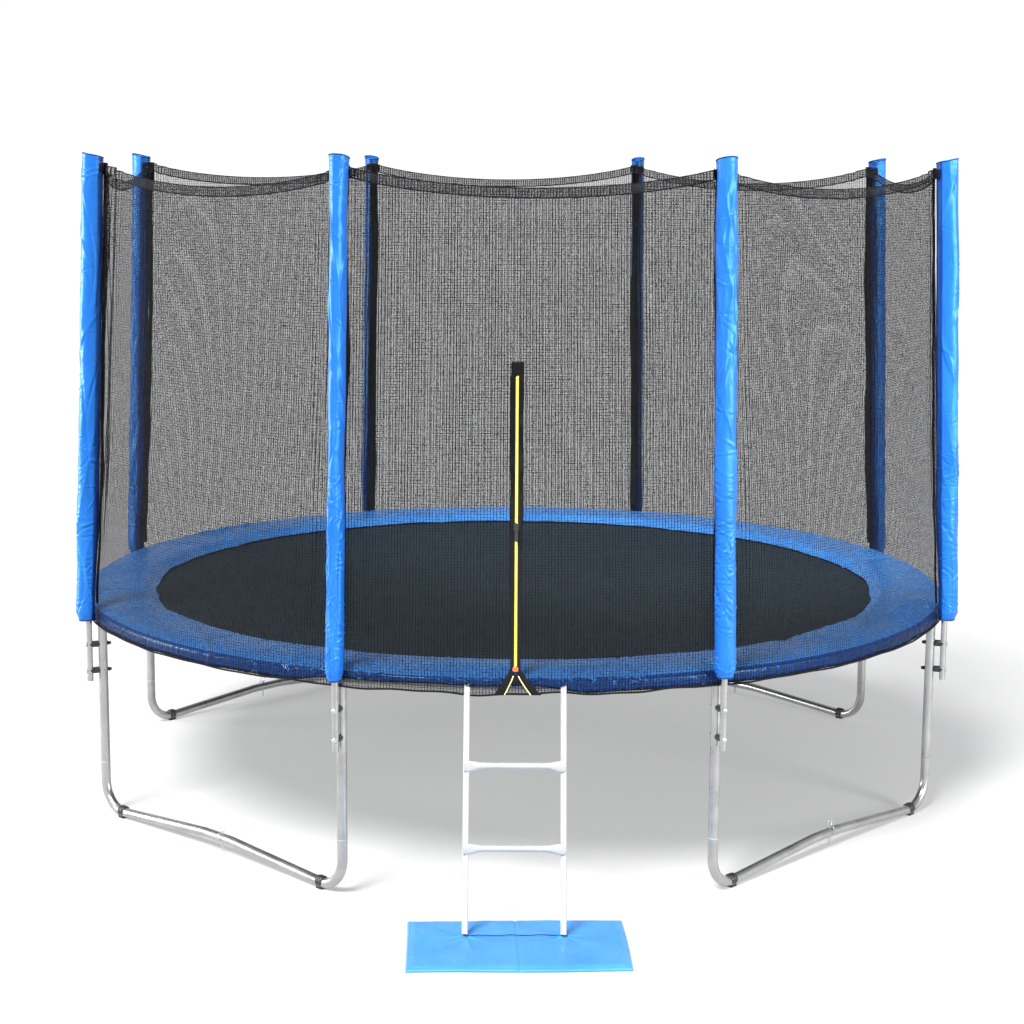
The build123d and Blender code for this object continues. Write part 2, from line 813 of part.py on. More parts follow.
def ladder_along(height):
    """Position along the rails, up from the hinge line, of a height above ground."""
    return (height - ring_height - rail_axis * lean_sin) / lean_cos


def rail_tubes(y_low, y_high, radius):
    """Both rails between two positions along the ladder."""
    start = ladder_plane.from_local_coords((0, y_low, rail_axis))
    with BuildPart() as tubes:
        with BuildSketch(Plane(origin=start, x_dir=across, z_dir=ladder_plane.y_dir)):
            with Locations(*[(side * ladder_half_width, 0) for side in (-1, 1)]):
                Circle(radius)
                Circle(radius - ladder_wall, mode=Mode.SUBTRACT)
        extrude(amount=y_high - y_low)
    return tubes.part


upper_rail_radius = ladder_rail_radius - ladder_wall - tube_slip
lower_tubes = rail_tubes(rail_foot, rail_split, ladder_rail_radius)
upper_tubes = rail_tubes(rail_split + 0.3, rail_top, ladder_rail_radius)
neck_tubes = rail_tubes(rail_split - 60, rail_split + 8, upper_rail_radius)
neck_roots = rail_tubes(rail_split + 0.3, rail_split + 8, ladder_rail_radius - ladder_wall / 2)
with BuildPart() as ladder_lower_rails:
    add(lower_tubes)
save(ladder_lower_rails, "ladder_lower_rails")

with BuildPart() as ladder_upper_rails:
    add([upper_tubes, neck_roots, neck_tubes])
save(ladder_upper_rails, "ladder_upper_rails")

with BuildPart() as ladder_hooks:
    for side in (-1, 1):
        hook_plane = Plane(
            origin=ladder_plane.from_local_coords((side * ladder_half_width, 0, 0)),
            x_dir=ladder_plane.z_dir,
            z_dir=-across,
        )
        with BuildSketch(hook_plane):
            with BuildLine():
                outside = Line((hook_outer, -75), (hook_outer, 0))
                over = CenterArc((0, 0), hook_outer, 0, hook_wrap)
                under = CenterArc((0, 0), hook_inner, 0, hook_wrap)
                inside = Line((hook_inner, -75), (hook_inner, 0))
                Line(over @ 1, under @ 1)
                Line(outside @ 0, inside @ 0)
            make_face()
        extrude(amount=hook_width / 2, both=True)
save(ladder_hooks, "ladder_hooks")

rung_face = rail_axis + ladder_rail_radius + 0.2
rung_plate = 4
rung_depth = 26
rung_width = 30
rung_end = ladder_half_width + 14
rung_flat = ladder_half_width - 22
rung_round = ladder_half_width - 60
with BuildPart() as ladder_rungs:
    for height in rung_heights:
        for side in (-1, 1):
            for low, high in ((0, rung_round), (rung_flat, rung_end)):
                flat = low > 0
                thick = rung_plate if flat else rung_depth
                wide = rung_width + 12 if flat else rung_width
                centre = (side * low, ladder_along(height), rung_face + rung_plate / 2)
                section = Plane(ladder_plane.from_local_coords(centre), x_dir=ladder_plane.y_dir, z_dir=across * side)
                with BuildSketch(section):
                    RectangleRounded(wide, thick, thick / 2 - 0.1)
                extrude(amount=high - low)
            for reach, wide, thick in ((rung_round, rung_width, rung_depth), (rung_flat, rung_width + 12, rung_plate)):
                centre = (side * reach, ladder_along(height), rung_face + rung_plate / 2)
                section = Plane(ladder_plane.from_local_coords(centre), x_dir=ladder_plane.y_dir, z_dir=across * side)
                with BuildSketch(section):
                    RectangleRounded(wide, thick, thick / 2 - 0.1)
            loft()
save(ladder_rungs, "ladder_rungs")

bolt_slip = 0.25
with BuildPart() as ladder_bolts:
    bolt_spots = [(side * ladder_half_width, ladder_along(height)) for height in rung_heights for side in (-1, 1)]
    with BuildSketch(ladder_plane.offset(rung_face + rung_plate + bolt_slip)):
        with Locations(*bolt_spots):
            Circle(6.5)
    extrude(amount=4, taper=25)
save(ladder_bolts, "ladder_bolts")

# ---- foot mat under the ladder ----
with BuildPart() as foot_mat:
    with BuildSketch(Plane.XY):
        with Locations((foot_mat_x, foot_mat_y)):
            RectangleRounded(foot_mat_length, foot_mat_width, 12)
    extrude(amount=foot_mat_thickness)
    fillet(foot_mat.faces().sort_by(Axis.Z)[-1].edges(), 5)
save(foot_mat, "foot_mat")
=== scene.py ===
import json
import math

import bpy
import numpy as np
from mathutils import Matrix, Vector


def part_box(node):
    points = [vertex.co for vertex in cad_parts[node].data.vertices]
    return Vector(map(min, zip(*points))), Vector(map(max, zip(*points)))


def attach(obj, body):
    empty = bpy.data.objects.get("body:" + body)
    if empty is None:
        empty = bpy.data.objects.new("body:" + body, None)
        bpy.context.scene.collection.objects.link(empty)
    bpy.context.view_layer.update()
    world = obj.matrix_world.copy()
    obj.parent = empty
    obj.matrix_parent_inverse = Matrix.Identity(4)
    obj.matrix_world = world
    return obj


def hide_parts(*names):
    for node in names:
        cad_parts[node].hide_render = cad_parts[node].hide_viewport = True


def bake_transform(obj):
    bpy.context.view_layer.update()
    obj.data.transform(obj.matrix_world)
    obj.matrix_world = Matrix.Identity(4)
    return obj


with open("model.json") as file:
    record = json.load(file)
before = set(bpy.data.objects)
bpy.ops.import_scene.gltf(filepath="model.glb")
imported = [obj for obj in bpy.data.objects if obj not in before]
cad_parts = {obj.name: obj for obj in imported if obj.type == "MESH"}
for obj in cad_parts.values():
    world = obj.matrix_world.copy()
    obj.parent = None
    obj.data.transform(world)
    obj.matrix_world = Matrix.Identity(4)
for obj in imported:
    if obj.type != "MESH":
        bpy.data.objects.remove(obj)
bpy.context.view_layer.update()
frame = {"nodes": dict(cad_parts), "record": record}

# ---------------------------------------------------------------- frame facts
TAU = 2 * math.pi
FRAME, BED = "frame", "bed"
UPWARD = np.array([0.0, 0.0, 1.0])
NODES = frame["nodes"]
JOINTS = {joint["name"]: joint for joint in frame["record"]["behaviour"]["joints"]}


def vertices(node):
    """Vertices of a CAD node at rest, in metres."""
    return np.array([v.co for v in NODES[node].data.vertices], float).reshape(-1, 3)


def radial_span(node):
    """Least and greatest distance of a CAD node from the vertical axis."""
    reach = np.hypot(*vertices(node)[:, :2].T)
    return float(reach.min()), float(reach.max())


def mean_radius(points, level, tolerance=0.003):
    """Mean distance from the axis of the points near one height."""
    near = points[np.abs(points[:, 2] - level) < tolerance]
    return float(np.hypot(near[:, 0], near[:, 1]).mean())


def bearings(angle):
    """Unit vectors away from the axis and sideways, at an angle round the trampoline."""
    out = np.array([math.cos(angle), math.sin(angle), 0.0])
    return out, np.cross(UPWARD, out)


def bell(distance, width):
    """Smooth hump, 1 in its middle."""
    return np.exp(-((distance / width) ** 2))


def eased(share):
    """0 to 1 with a gentle start and end."""
    share = np.clip(share, 0, 1)
    return share * share * (3 - 2 * share)


def pairs(a, b):
    """Two arrays as one of pairs, for flat cloth coordinates."""
    return np.stack(np.broadcast_arrays(a, b), -1)


def post_angle(number):
    low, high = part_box(f"leg_post_{number}")
    return math.atan2(low.y + high.y, low.x + high.x)


POSTS = [post_angle(number) for number in range(1, 9)]
PANELS = [(POSTS[i], POSTS[(i + 1) % 8] + (TAU if i == 7 else 0)) for i in range(8)]
TUBE_RADIUS = 0.019
RING_RADIUS = radial_span("top_rail_1")[1] - TUBE_RADIUS
RING_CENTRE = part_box("top_rail_1")[1].z - TUBE_RADIUS
SPRING_ANGLES = [math.radians(-89) + turn * TAU / 72 for turn in range(72)]

lowers, uppers = vertices("pole_lowers"), vertices("pole_uppers")
POLE_FOOT_RADIUS = mean_radius(lowers, lowers[:, 2].min())
POLE_TOP = float(uppers[:, 2].max())
POLE_TOP_RADIUS = mean_radius(uppers, POLE_TOP, 0.004)
POLE_BEND = 0.878
POLE_SLOPE = (POLE_FOOT_RADIUS - POLE_TOP_RADIUS) / (POLE_TOP - POLE_BEND)

NET_RADIUS = radial_span("net_skirt")[0]
NET_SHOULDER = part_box("net_panels")[0].z
PAD_INNER, PAD_OUTER = radial_span("spring_pad")
PAD_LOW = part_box("spring_pad")[0].z
SLEEVE_LOW, SLEEVE_HIGH = (corner.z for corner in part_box("pole_sleeves"))


def pole_radius_at(z):
    """Distance of a pole's middle line from the axis at a height."""
    return POLE_FOOT_RADIUS - np.maximum(0.0, z - POLE_BEND) * POLE_SLOPE


# ---------------------------------------------------------------- camera
EYE = Vector((-0.3165, -9.0559, 2.6645))
YAW, PITCH, ROLL = -0.0338, 0.1666, -0.0067
LENS = 73.6


def add_camera():
    data = bpy.data.cameras.new("camera")
    data.lens, data.sensor_width = LENS, 36.0
    data.clip_end = 200.0
    camera = bpy.data.objects.new("camera", data)
    bpy.context.scene.collection.objects.link(camera)
    right = Vector((math.cos(YAW), math.sin(YAW), 0))
    ahead = Vector((-math.sin(YAW), math.cos(YAW), 0))
    up = math.sin(PITCH) * ahead + math.cos(PITCH) * Vector((0, 0, 1))
    ahead = math.cos(PITCH) * ahead - math.sin(PITCH) * Vector((0, 0, 1))
    right, up = (
        math.cos(ROLL) * right - math.sin(ROLL) * up,
        math.sin(ROLL) * right + math.cos(ROLL) * up,
    )
    turn = Matrix((right, up, -ahead)).transposed()
    camera.matrix_world = Matrix.Translation(EYE) @ turn.to_4x4()
    bpy.context.scene.camera = camera


add_camera()


# ---------------------------------------------------------------- material kit
class Shader:
    """A Principled material with short names for the nodes that it uses."""

    def __init__(self, name):
        self.material = bpy.data.materials.new(name)
        self.material.use_nodes = True
        self.tree = self.material.node_tree
        self.surface = self.tree.nodes["Principled BSDF"]

    def put(self, **values):
        """Set the surface's own sockets: put(Roughness=0.4)."""
        for key, value in values.items():
            self.surface.inputs[key.replace("_", " ")].default_value = value
        return self

    def node(self, kind, **inputs):
        made = self.tree.nodes.new(kind)
        for key, value in inputs.items():
            self.feed(made.inputs[key.replace("_", " ")], value)
        return made

    def feed(self, socket, value):
        if isinstance(value, bpy.types.NodeSocket):
            self.tree.links.new(value, socket)
        else:
            socket.default_value = value

    def link(self, name, value):
        self.tree.links.new(value, self.surface.inputs[name])

    def place(self):
        """Object coordinates, in metres."""
        return self.node("ShaderNodeTexCoord").outputs["Object"]

    def cloth(self):
        """Flat coordinates on a cloth, in metres, kept on its vertices."""
        made = self.node("ShaderNodeAttribute")
        made.attribute_name = "cloth"
        return made.outputs["Vector"]

    def parts(self, vector):
        made = self.node("ShaderNodeSeparateXYZ", Vector=vector)
        return made.outputs

    def math(self, operation, a, b=0.0, c=0.0):
        made = self.tree.nodes.new("ShaderNodeMath")
        made.operation = operation
        for socket, value in zip(made.inputs, (a, b, c)):
            self.feed(socket, value)
        return made.outputs[0]

    def noise(self, vector, scale, detail=3.0, roughness=0.5):
        settings = {"Scale": scale, "Detail": detail, "Roughness": roughness}
        return self.node("ShaderNodeTexNoise", Vector=vector, **settings).outputs["Fac"]

    def ramp(self, fac, *stops):
        made = self.node("ShaderNodeValToRGB", Fac=fac)
        elements = made.color_ramp.elements
        while len(elements) < len(stops):
            elements.new(0.5)
        for element, (position, colour) in zip(elements, stops):
            element.position = position
            element.color = (*colour, 1.0)
        return made.outputs["Color"]

    def mix(self, fac, a, b):
        made = self.tree.nodes.new("ShaderNodeMix")
        made.data_type = "RGBA"
        for socket, value in zip((made.inputs[0], made.inputs[6], made.inputs[7]), (fac, a, b)):
            self.feed(socket, (*value, 1.0) if isinstance(value, tuple) else value)
        return made.outputs[2]

    def stretch(self, vector, scale):
        made = self.node("ShaderNodeMapping", Vector=vector)
        made.inputs["Scale"].default_value = scale
        return made.outputs["Vector"]

    def bump(self, height, distance, strength=1.0, normal=None):
        made = self.node("ShaderNodeBump", Height=height, Distance=distance, Strength=strength)
        if normal is not None:
            self.tree.links.new(normal, made.inputs["Normal"])
        return made.outputs["Normal"]

    def line(self, coordinate, pitch, width):
        """1 on thin lines a pitch apart, 0 between them, with soft edges."""
        turn = self.math("FRACT", self.math("DIVIDE", coordinate, pitch))
        away = self.math("ABSOLUTE", self.math("SUBTRACT", turn, 0.5))
        edge = 0.5 * width / pitch
        soft = self.node("ShaderNodeMapRange", Value=away, From_Min=edge * 0.75, From_Max=edge * 1.25)
        soft.inputs["To Min"].default_value = 1.0
        soft.inputs["To Max"].default_value = 0.0
        return soft.outputs["Result"]


def galvanised_steel(name, light, dark, metallic):
    """Zinc coat: a faint spangle, a fine bump and dull patches."""
    shader = Shader(name)
    place = shader.place()
    cells = shader.node("ShaderNodeTexVoronoi", Vector=place, Scale=160.0)
    patches = shader.noise(place, 14.0, 4.0)
    base = shader.math("MULTIPLY", patches, 0.75)
    tone = shader.math("MULTIPLY_ADD", cells.outputs["Color"], 0.12, base)
    shader.link("Base Color", shader.ramp(tone, (0.2, dark), (0.75, light)))
    shader.link("Roughness", shader.math("MULTIPLY_ADD", patches, 0.2, 0.20))
    shader.link("Normal", shader.bump(shader.noise(place, 420.0, 2.0), 0.0003, 0.35))
    return shader.put(Metallic=metallic).material


def moulded_plastic(name, colour, roughness=0.45):
    """Plastic with a fine moulded grain."""
    shader = Shader(name)
    place = shader.place()
    tone = shader.noise(place, 60.0, 3.0)
    pale = tuple(min(1.0, channel * 1.6 + 0.01) for channel in colour)
    shader.link("Base Color", shader.ramp(tone, (0.35, colour), (0.8, pale)))
    shader.link("Normal", shader.bump(shader.noise(place, 900.0, 2.0), 0.0002, 0.4))
    return shader.put(Roughness=roughness).material


def coated_cloth(name, deep, bright, roughness, gloss, strip=None):
    """PVC coated cloth: fine scrim under the coat, small puckers, soft colour shifts.

    strip is a strip of painted shade: its cloth coordinate, middle, half width and colour.
    """
    shader = Shader(name)
    cloth = shader.cloth()
    place = shader.place()
    parts = shader.parts(cloth)
    threads = [shader.line(parts[way], 0.0016, 0.0007) for way in "XY"]
    scrim = shader.math("ADD", *threads)
    clouds = shader.noise(place, 5.0, 4.0, 0.6)
    colour = shader.ramp(clouds, (0.3, deep), (0.7, bright))
    # painted shade: the strip darkens the colour where the cloth lies in shade
    if strip:
        way, middle, half, tone = strip
        away = shader.math("ABSOLUTE", shader.math("SUBTRACT", parts[way], middle))
        shade_mask = shader.node("ShaderNodeMapRange", Value=away, From_Min=half + 0.002, From_Max=half - 0.002)
        colour = shader.mix(shade_mask.outputs["Result"], colour, tone)
    shader.link("Base Color", colour)
    puckers = shader.noise(shader.stretch(place, (1.0, 1.0, 0.45)), 46.0, 5.0, 0.62)
    fine = shader.noise(place, 210.0, 3.0, 0.6)
    normal = shader.bump(puckers, 0.006, 0.35)
    normal = shader.bump(fine, 0.0012, 0.3, normal)
    normal = shader.bump(scrim, 0.0002, 0.25, normal)
    shader.link("Normal", normal)
    shader.link("Roughness", shader.math("MULTIPLY_ADD", puckers, 0.2, roughness - 0.1))
    shader.put(Specular_IOR_Level=1.0, Specular_Tint=(0.16, 0.66, 1.0, 1.0))
    return shader.put(Coat_Weight=gloss, Coat_Roughness=0.22).material


def net_mesh(name, cover, colour):
    """Knitted mesh: strong upright strands, lighter cross strands and fine threads between."""
    shader = Shader(name)
    cloth = shader.cloth()
    wobble = shader.math("MULTIPLY", shader.noise(cloth, 3.0, 1.0), 0.0016)
    parts = shader.parts(cloth)
    u = shader.math("ADD", parts["X"], wobble)
    v = shader.math("ADD", parts["Y"], wobble)
    upright = shader.line(u, 0.0116, 0.0022 * cover)
    level = shader.line(v, 0.0105, 0.0011 * cover)
    drift = shader.math("MULTIPLY", shader.noise(cloth, 34.0, 1.0), 0.008)
    fine_up = shader.line(shader.math("ADD", u, drift), 0.0029, 0.00068 * cover)
    fine_level = shader.line(shader.math("ADD", v, drift), 0.0035, 0.00074 * cover)
    strands = shader.math("MAXIMUM", upright, level)
    threads = shader.math("MAXIMUM", fine_up, fine_level)
    shader.link("Alpha", shader.math("MAXIMUM", strands, threads))
    tone = shader.noise(cloth, 30.0, 3.0)
    bright = tuple(2.2 * channel for channel in colour)
    shader.link("Base Color", shader.ramp(tone, (0.3, colour), (0.75, bright)))
    return shader.put(Roughness=0.8, Specular_IOR_Level=0.06).material


def woven_bed(name):
    """Polypropylene bed: flat tapes over and under, with faint wider bands."""
    shader = Shader(name)
    place = shader.place()
    parts = shader.parts(place)
    warp, weft = (shader.line(parts[way], 0.0026, 0.0014) for way in "XY")
    bands = shader.math("ADD", shader.line(parts["X"], 0.021, 0.006), shader.line(parts["Y"], 0.021, 0.004))
    dust = shader.noise(place, 3.0, 5.0, 0.65)
    fine = shader.noise(place, 160.0, 2.0)
    tone = shader.math("MULTIPLY_ADD", dust, 0.5, shader.math("MULTIPLY", fine, 0.3))
    tone = shader.math("MULTIPLY_ADD", bands, 0.14, tone)
    dark, dusty = (0.012, 0.024, 0.034), (0.028, 0.050, 0.064)
    shader.link("Base Color", shader.ramp(tone, (0.25, dark), (0.85, dusty)))
    shader.link("Normal", shader.bump(shader.math("MAXIMUM", warp, weft), 0.0004, 0.5))
    return shader.put(Roughness=0.7, Specular_IOR_Level=0.2).material


def webbing(name, colour):
    """Woven tape: ribs across and a paler fleck."""
    rib = 0.003
    shader = Shader(name)
    cloth = shader.cloth()
    parts = shader.parts(cloth)
    ribs = shader.line(parts["Y"], rib, rib * 0.5)
    edge = shader.line(parts["X"], rib * 0.8, rib * 0.35)
    fleck = shader.noise(cloth, 260.0, 3.0)
    bright = tuple(2.6 * channel + 0.004 for channel in colour)
    shader.link("Base Color", shader.ramp(fleck, (0.35, colour), (0.8, bright)))
    shader.link("Normal", shader.bump(shader.math("ADD", ribs, edge), 0.0004, 0.6))
    return shader.put(Roughness=0.8, Specular_IOR_Level=0.12).material


def foam(name, colour):
    """Closed-cell foam with a pitted skin."""
    shader = Shader(name)
    place = shader.place()
    cells = shader.node("ShaderNodeTexVoronoi", Vector=place, Scale=380.0)
    tone = shader.noise(place, 40.0, 3.0)
    pale = tuple(1.5 * channel for channel in colour)
    shader.link("Base Color", shader.ramp(tone, (0.3, colour), (0.8, pale)))
    shader.link("Normal", shader.bump(cells.outputs["Distance"], 0.0008, 0.6))
    return shader.put(Roughness=0.9).material


STEEL = galvanised_steel("galvanised_steel", (0.50, 0.50, 0.50), (0.34, 0.34, 0.34), 0.9)
ZINC = galvanised_steel("zinc_hardware", (0.66, 0.67, 0.69), (0.40, 0.41, 0.43), 0.8)
SPRING_STEEL = galvanised_steel("spring_steel", (0.70, 0.70, 0.72), (0.50, 0.50, 0.52), 0.85)
LADDER_PAINT = galvanised_steel("ladder_paint", (0.44, 0.44, 0.445), (0.38, 0.38, 0.385), 0.10)
BLACK_PLASTIC = moulded_plastic("black_plastic", (0.012, 0.012, 0.014))
ZIP_YELLOW = moulded_plastic("zip_yellow", (0.86, 0.78, 0.10))
ZIP_RED = moulded_plastic("zip_red", (0.72, 0.10, 0.03))
PIPING = moulded_plastic("piping", (0.72, 0.76, 0.28), 0.6)
SLEEVE_ARC = 0.036
# painted shade: a navy strip down the inner side of each sleeve, the side that faces the net and lies in
# shade
SLEEVE_SHADE_STRIP = ("X", math.pi * SLEEVE_ARC, 1.35 * SLEEVE_ARC, (0.006, 0.030, 0.20))
DEEP_BLUE, BRIGHT_BLUE = (0.008, 0.100, 0.45), (0.013, 0.135, 0.54)
SLEEVE_BLUE = coated_cloth("sleeve_blue", DEEP_BLUE, BRIGHT_BLUE, 0.36, 0.08, SLEEVE_SHADE_STRIP)
# painted shade: a darker navy band on the pad's skirt, the outer flap that faces down and away from the
# light
PAD_SKIRT_SHADE = ("Y", 0.295, 0.026, (0.010, 0.055, 0.30))
PAD_BLUE = coated_cloth("pad_blue", (0.045, 0.240, 0.72), (0.075, 0.310, 0.82), 0.28, 0.25, PAD_SKIRT_SHADE)
MAT_BLUE = coated_cloth("mat_blue", (0.050, 0.225, 0.58), (0.075, 0.280, 0.66), 0.36, 0.12)
PAD_BLACK = webbing("pad_black", (0.012, 0.012, 0.016))
BED_WEAVE = woven_bed("bed_weave")
NET = net_mesh("net_mesh", 1.0, (0.0035, 0.0035, 0.004))
NET_BAND = net_mesh("net_band", 1.9, (0.010, 0.010, 0.011))
WEBBING = webbing("black_webbing", (0.005, 0.005, 0.006))
NAVY = webbing("navy_binding", (0.006, 0.012, 0.045))
FOAM = foam("grey_foam", (0.20, 0.21, 0.23))


# ---------------------------------------------------------------- mesh kit
def make_piece(name, points, faces, material, slot=None, body=FRAME, cloth=None, smooth=True):
    """A mesh piece in the row frame. cloth holds flat coordinates for each vertex."""
    mesh = bpy.data.meshes.new(name)
    points = np.reshape(np.asarray(points, float), (-1, 3))
    mesh.from_pydata(points.tolist(), [], [tuple(face) for face in faces])
    mesh.update()
    mesh.materials.append(material)
    mesh.polygons.foreach_set("use_smooth", [smooth] * len(mesh.polygons))
    if cloth is not None:
        flat = np.zeros((len(mesh.vertices), 3))
        flat[:, :2] = np.reshape(cloth, (-1, 2))
        mesh.attributes.new("cloth", "FLOAT_VECTOR", "POINT").data.foreach_set("vector", flat.ravel())
    piece = bpy.data.objects.new(name, mesh)
    bpy.context.scene.collection.objects.link(piece)
    if body:
        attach(piece, body)
    return piece


def grid_faces(rows, columns, wrap_rows=False, wrap_columns=False, start=0):
    """Quads of a grid whose vertices go row by row."""
    i = np.arange(rows if wrap_rows else rows - 1)
    j = np.arange(columns if wrap_columns else columns - 1)
    i, j = np.meshgrid(i, j, indexing="ij")
    i, j = i.ravel(), j.ravel()
    i_next, j_next = (i + 1) % rows, (j + 1) % columns
    corners = [i * columns + j, i * columns + j_next, i_next * columns + j_next, i_next * columns + j]
    return np.stack(corners, 1) + start


def polar(radius, angle, z):
    """Points from cylinder coordinates, any of them arrays."""
    radius, angle, z = np.broadcast_arrays(radius, angle, z)
    return np.stack([radius * np.cos(angle), radius * np.sin(angle), z], -1)


def creases(x, y, seed, count, box, length, width, heading, spread=0.4, around=None):
    """Scattered crease lines, each a sharp fold with a soft foot, as a height near -1 to 1."""
    random = np.random.default_rng(seed)
    total = np.zeros(np.broadcast(x, y).shape)
    for _ in range(count):
        cx, cy = random.uniform(box[0], box[1]), random.uniform(box[2], box[3])
        angle = heading * random.choice((-1, 1)) + random.normal(0, spread)
        half, fine = length * random.uniform(0.4, 1.3), width * random.uniform(0.6, 1.6)
        dx, dy = x - cx, y - cy
        if around:
            dx = (dx + 0.5 * around) % around - 0.5 * around
        near = (np.abs(dx) < 2.2 * half + 4 * fine) & (np.abs(dy) < 2.2 * half + 4 * fine)
        dx, dy = dx[near], dy[near]
        along = dx * math.cos(angle) + dy * math.sin(angle)
        bow = 0.25 * along**2 / half * random.uniform(-1, 1)
        across = -dx * math.sin(angle) + dy * math.cos(angle) + bow
        fold = np.exp(-np.abs(across) / fine) - 0.45 * np.exp(-((across / (3 * fine)) ** 2))
        total[near] += random.choice((-1.0, 1.0, 1.0)) * fold * bell(along, half)
    return total


def from_angle(angle, middle):
    """Distance round the circle from one angle to another, signed."""
    return (angle - middle + math.pi) % TAU - math.pi


def tube(path, radius, sides=8, closed=False):
    """Vertices and faces of a round tube along a path of points."""
    path = np.asarray(path, float)
    count = len(path)
    if closed:
        tangent = np.roll(path, -1, 0) - np.roll(path, 1, 0)
    else:
        tangent = np.gradient(path, axis=0)
    tangent /= np.linalg.norm(tangent, axis=1)[:, None]
    seed = UPWARD if abs(tangent[0][2]) < 0.9 else np.array([1.0, 0, 0])
    sides_a = np.zeros_like(path)
    side = np.cross(tangent[0], seed)
    for i in range(count):
        side = side - tangent[i] * np.dot(side, tangent[i])
        side /= np.linalg.norm(side)
        sides_a[i] = side
    sides_b = np.cross(tangent, sides_a)
    turn = np.arange(sides) * TAU / sides
    ring = sides_a[:, None] * np.cos(turn)[None, :, None] + sides_b[:, None] * np.sin(turn)[None, :, None]
    points = path[:, None] + ring * np.reshape(radius, (-1, 1, 1))
    faces = grid_faces(count, sides, wrap_rows=closed, wrap_columns=True).tolist()
    if not closed:
        faces.append(list(range(sides))[::-1])
        faces.append([(count - 1) * sides + k for k in range(sides)])
    return points.reshape(-1, 3), faces


def joined(parts):
    """Several (points, faces) as one."""
    points, faces, start = [], [], 0
    for some_points, some_faces in parts:
        points.append(some_points)
        faces += [[index + start for index in face] for face in some_faces]
        start += len(some_points)
    return np.concatenate(points), faces


def make_trim(name, parts, material=WEBBING, body=FRAME):
    """Cords or tapes as one piece of webbing."""
    points, faces = joined(parts)
    return make_piece(name, points, faces, material, "black_webbing", body, points[:, :2])


def thicken(piece, depth):
    piece.modifiers.new("thickness", "SOLIDIFY").thickness = depth


# ---------------------------------------------------------------- CAD nodes that stay
KEPT = {
    STEEL: ["top_rail_", "leg_post_", "leg_base_", "pole_lowers", "pole_uppers"],
    ZINC: ["leg_pin_", "pole_bolts", "ladder_bolts"],
    BLACK_PLASTIC: ["pole_caps", "pole_spacers", "pole_nuts", "zip_slider", "zip_pull"],
    LADDER_PAINT: ["ladder_lower", "ladder_upper", "ladder_hooks", "ladder_rungs"],
    SPRING_STEEL: ["v_rings"],
    ZIP_RED: ["zip_stop"],
    WEBBING: ["net_ties"],
}


def paint_kept_nodes():
    for material, prefixes in KEPT.items():
        for name, node in NODES.items():
            if name.startswith(tuple(prefixes)):
                node.data.materials.clear()
                node.data.materials.append(material)


paint_kept_nodes()


# ---------------------------------------------------------------- legs and ladder
def oriented_box(centre, axes, halves):
    """Corners and faces of a box along three given directions."""
    signs = np.array(np.meshgrid((-1, 1), (-1, 1), (-1, 1), indexing="ij")).reshape(3, 8).T
    corners = centre + (signs * halves) @ np.array(axes)
    faces = [[0, 1, 3, 2], [4, 6, 7, 5], [0, 4, 5, 1], [2, 3, 7, 6], [0, 2, 6, 4], [1, 5, 7, 3]]
    return corners, faces


def build_foot_caps():
    """Moulded clips round the base tubes, each with a ribbed band and a flat sole."""
    caps = vertices("foot_caps")
    base = np.concatenate([vertices(f"leg_base_{k}") for k in range(1, 9)])
    bearing = np.arctan2(caps[:, 1], caps[:, 0])
    half_steps = np.array([0.002, 0.0035, 0.0095, 0.011, 0.015, 0.017])
    half_girth = np.array([0.0210, 0.0222, 0.0222, 0.0212, 0.0212, 0.0198])
    steps = np.concatenate([-half_steps[::-1], half_steps])
    girth = np.concatenate([half_girth[::-1], half_girth])
    sole_half = (0.016, 0.015, 0.0065)
    parts = []
    for angle in POSTS:
        mine = caps[np.abs(from_angle(bearing, angle)) < 0.18]
        centre = 0.5 * (mine.min(0) + mine.max(0))
        spread = mine[:, :2] - mine[:, :2].mean(0)
        heading = np.linalg.svd(spread, full_matrices=False)[2][0]
        near = base[np.linalg.norm(base[:, :2] - centre[:2], axis=1) < 0.045]
        height = 0.5 * (near[:, 2].min() + near[:, 2].max())
        along = np.array([heading[0], heading[1], 0.0])
        side = np.array([-heading[1], heading[0], 0.0])
        middle = np.array([centre[0], centre[1], height])
        parts.append(tube(middle + steps[:, None] * along, girth, 28))
        sole = middle * [1, 1, 0] + UPWARD * sole_half[2]
        parts.append(oriented_box(sole, (along, side, UPWARD), sole_half))
    clips = make_piece("foot_clips", *joined(parts), BLACK_PLASTIC, "black_plastic")
    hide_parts("foot_caps")


def build_collars():
    """Rolled rims where the leg posts slip over their bases."""
    parts = []
    for number in range(1, 9):
        low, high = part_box(f"leg_post_{number}")
        centre = np.array([0.5 * (low.x + high.x), 0.5 * (low.y + high.y), low.z])
        ring = centre + polar(TUBE_RADIUS, np.arange(40) * TAU / 40, 0.002)
        parts.append(tube(ring, 0.0013, 8, closed=True))
    make_piece("leg_collars", *joined(parts), LADDER_PAINT, "galvanised_steel")


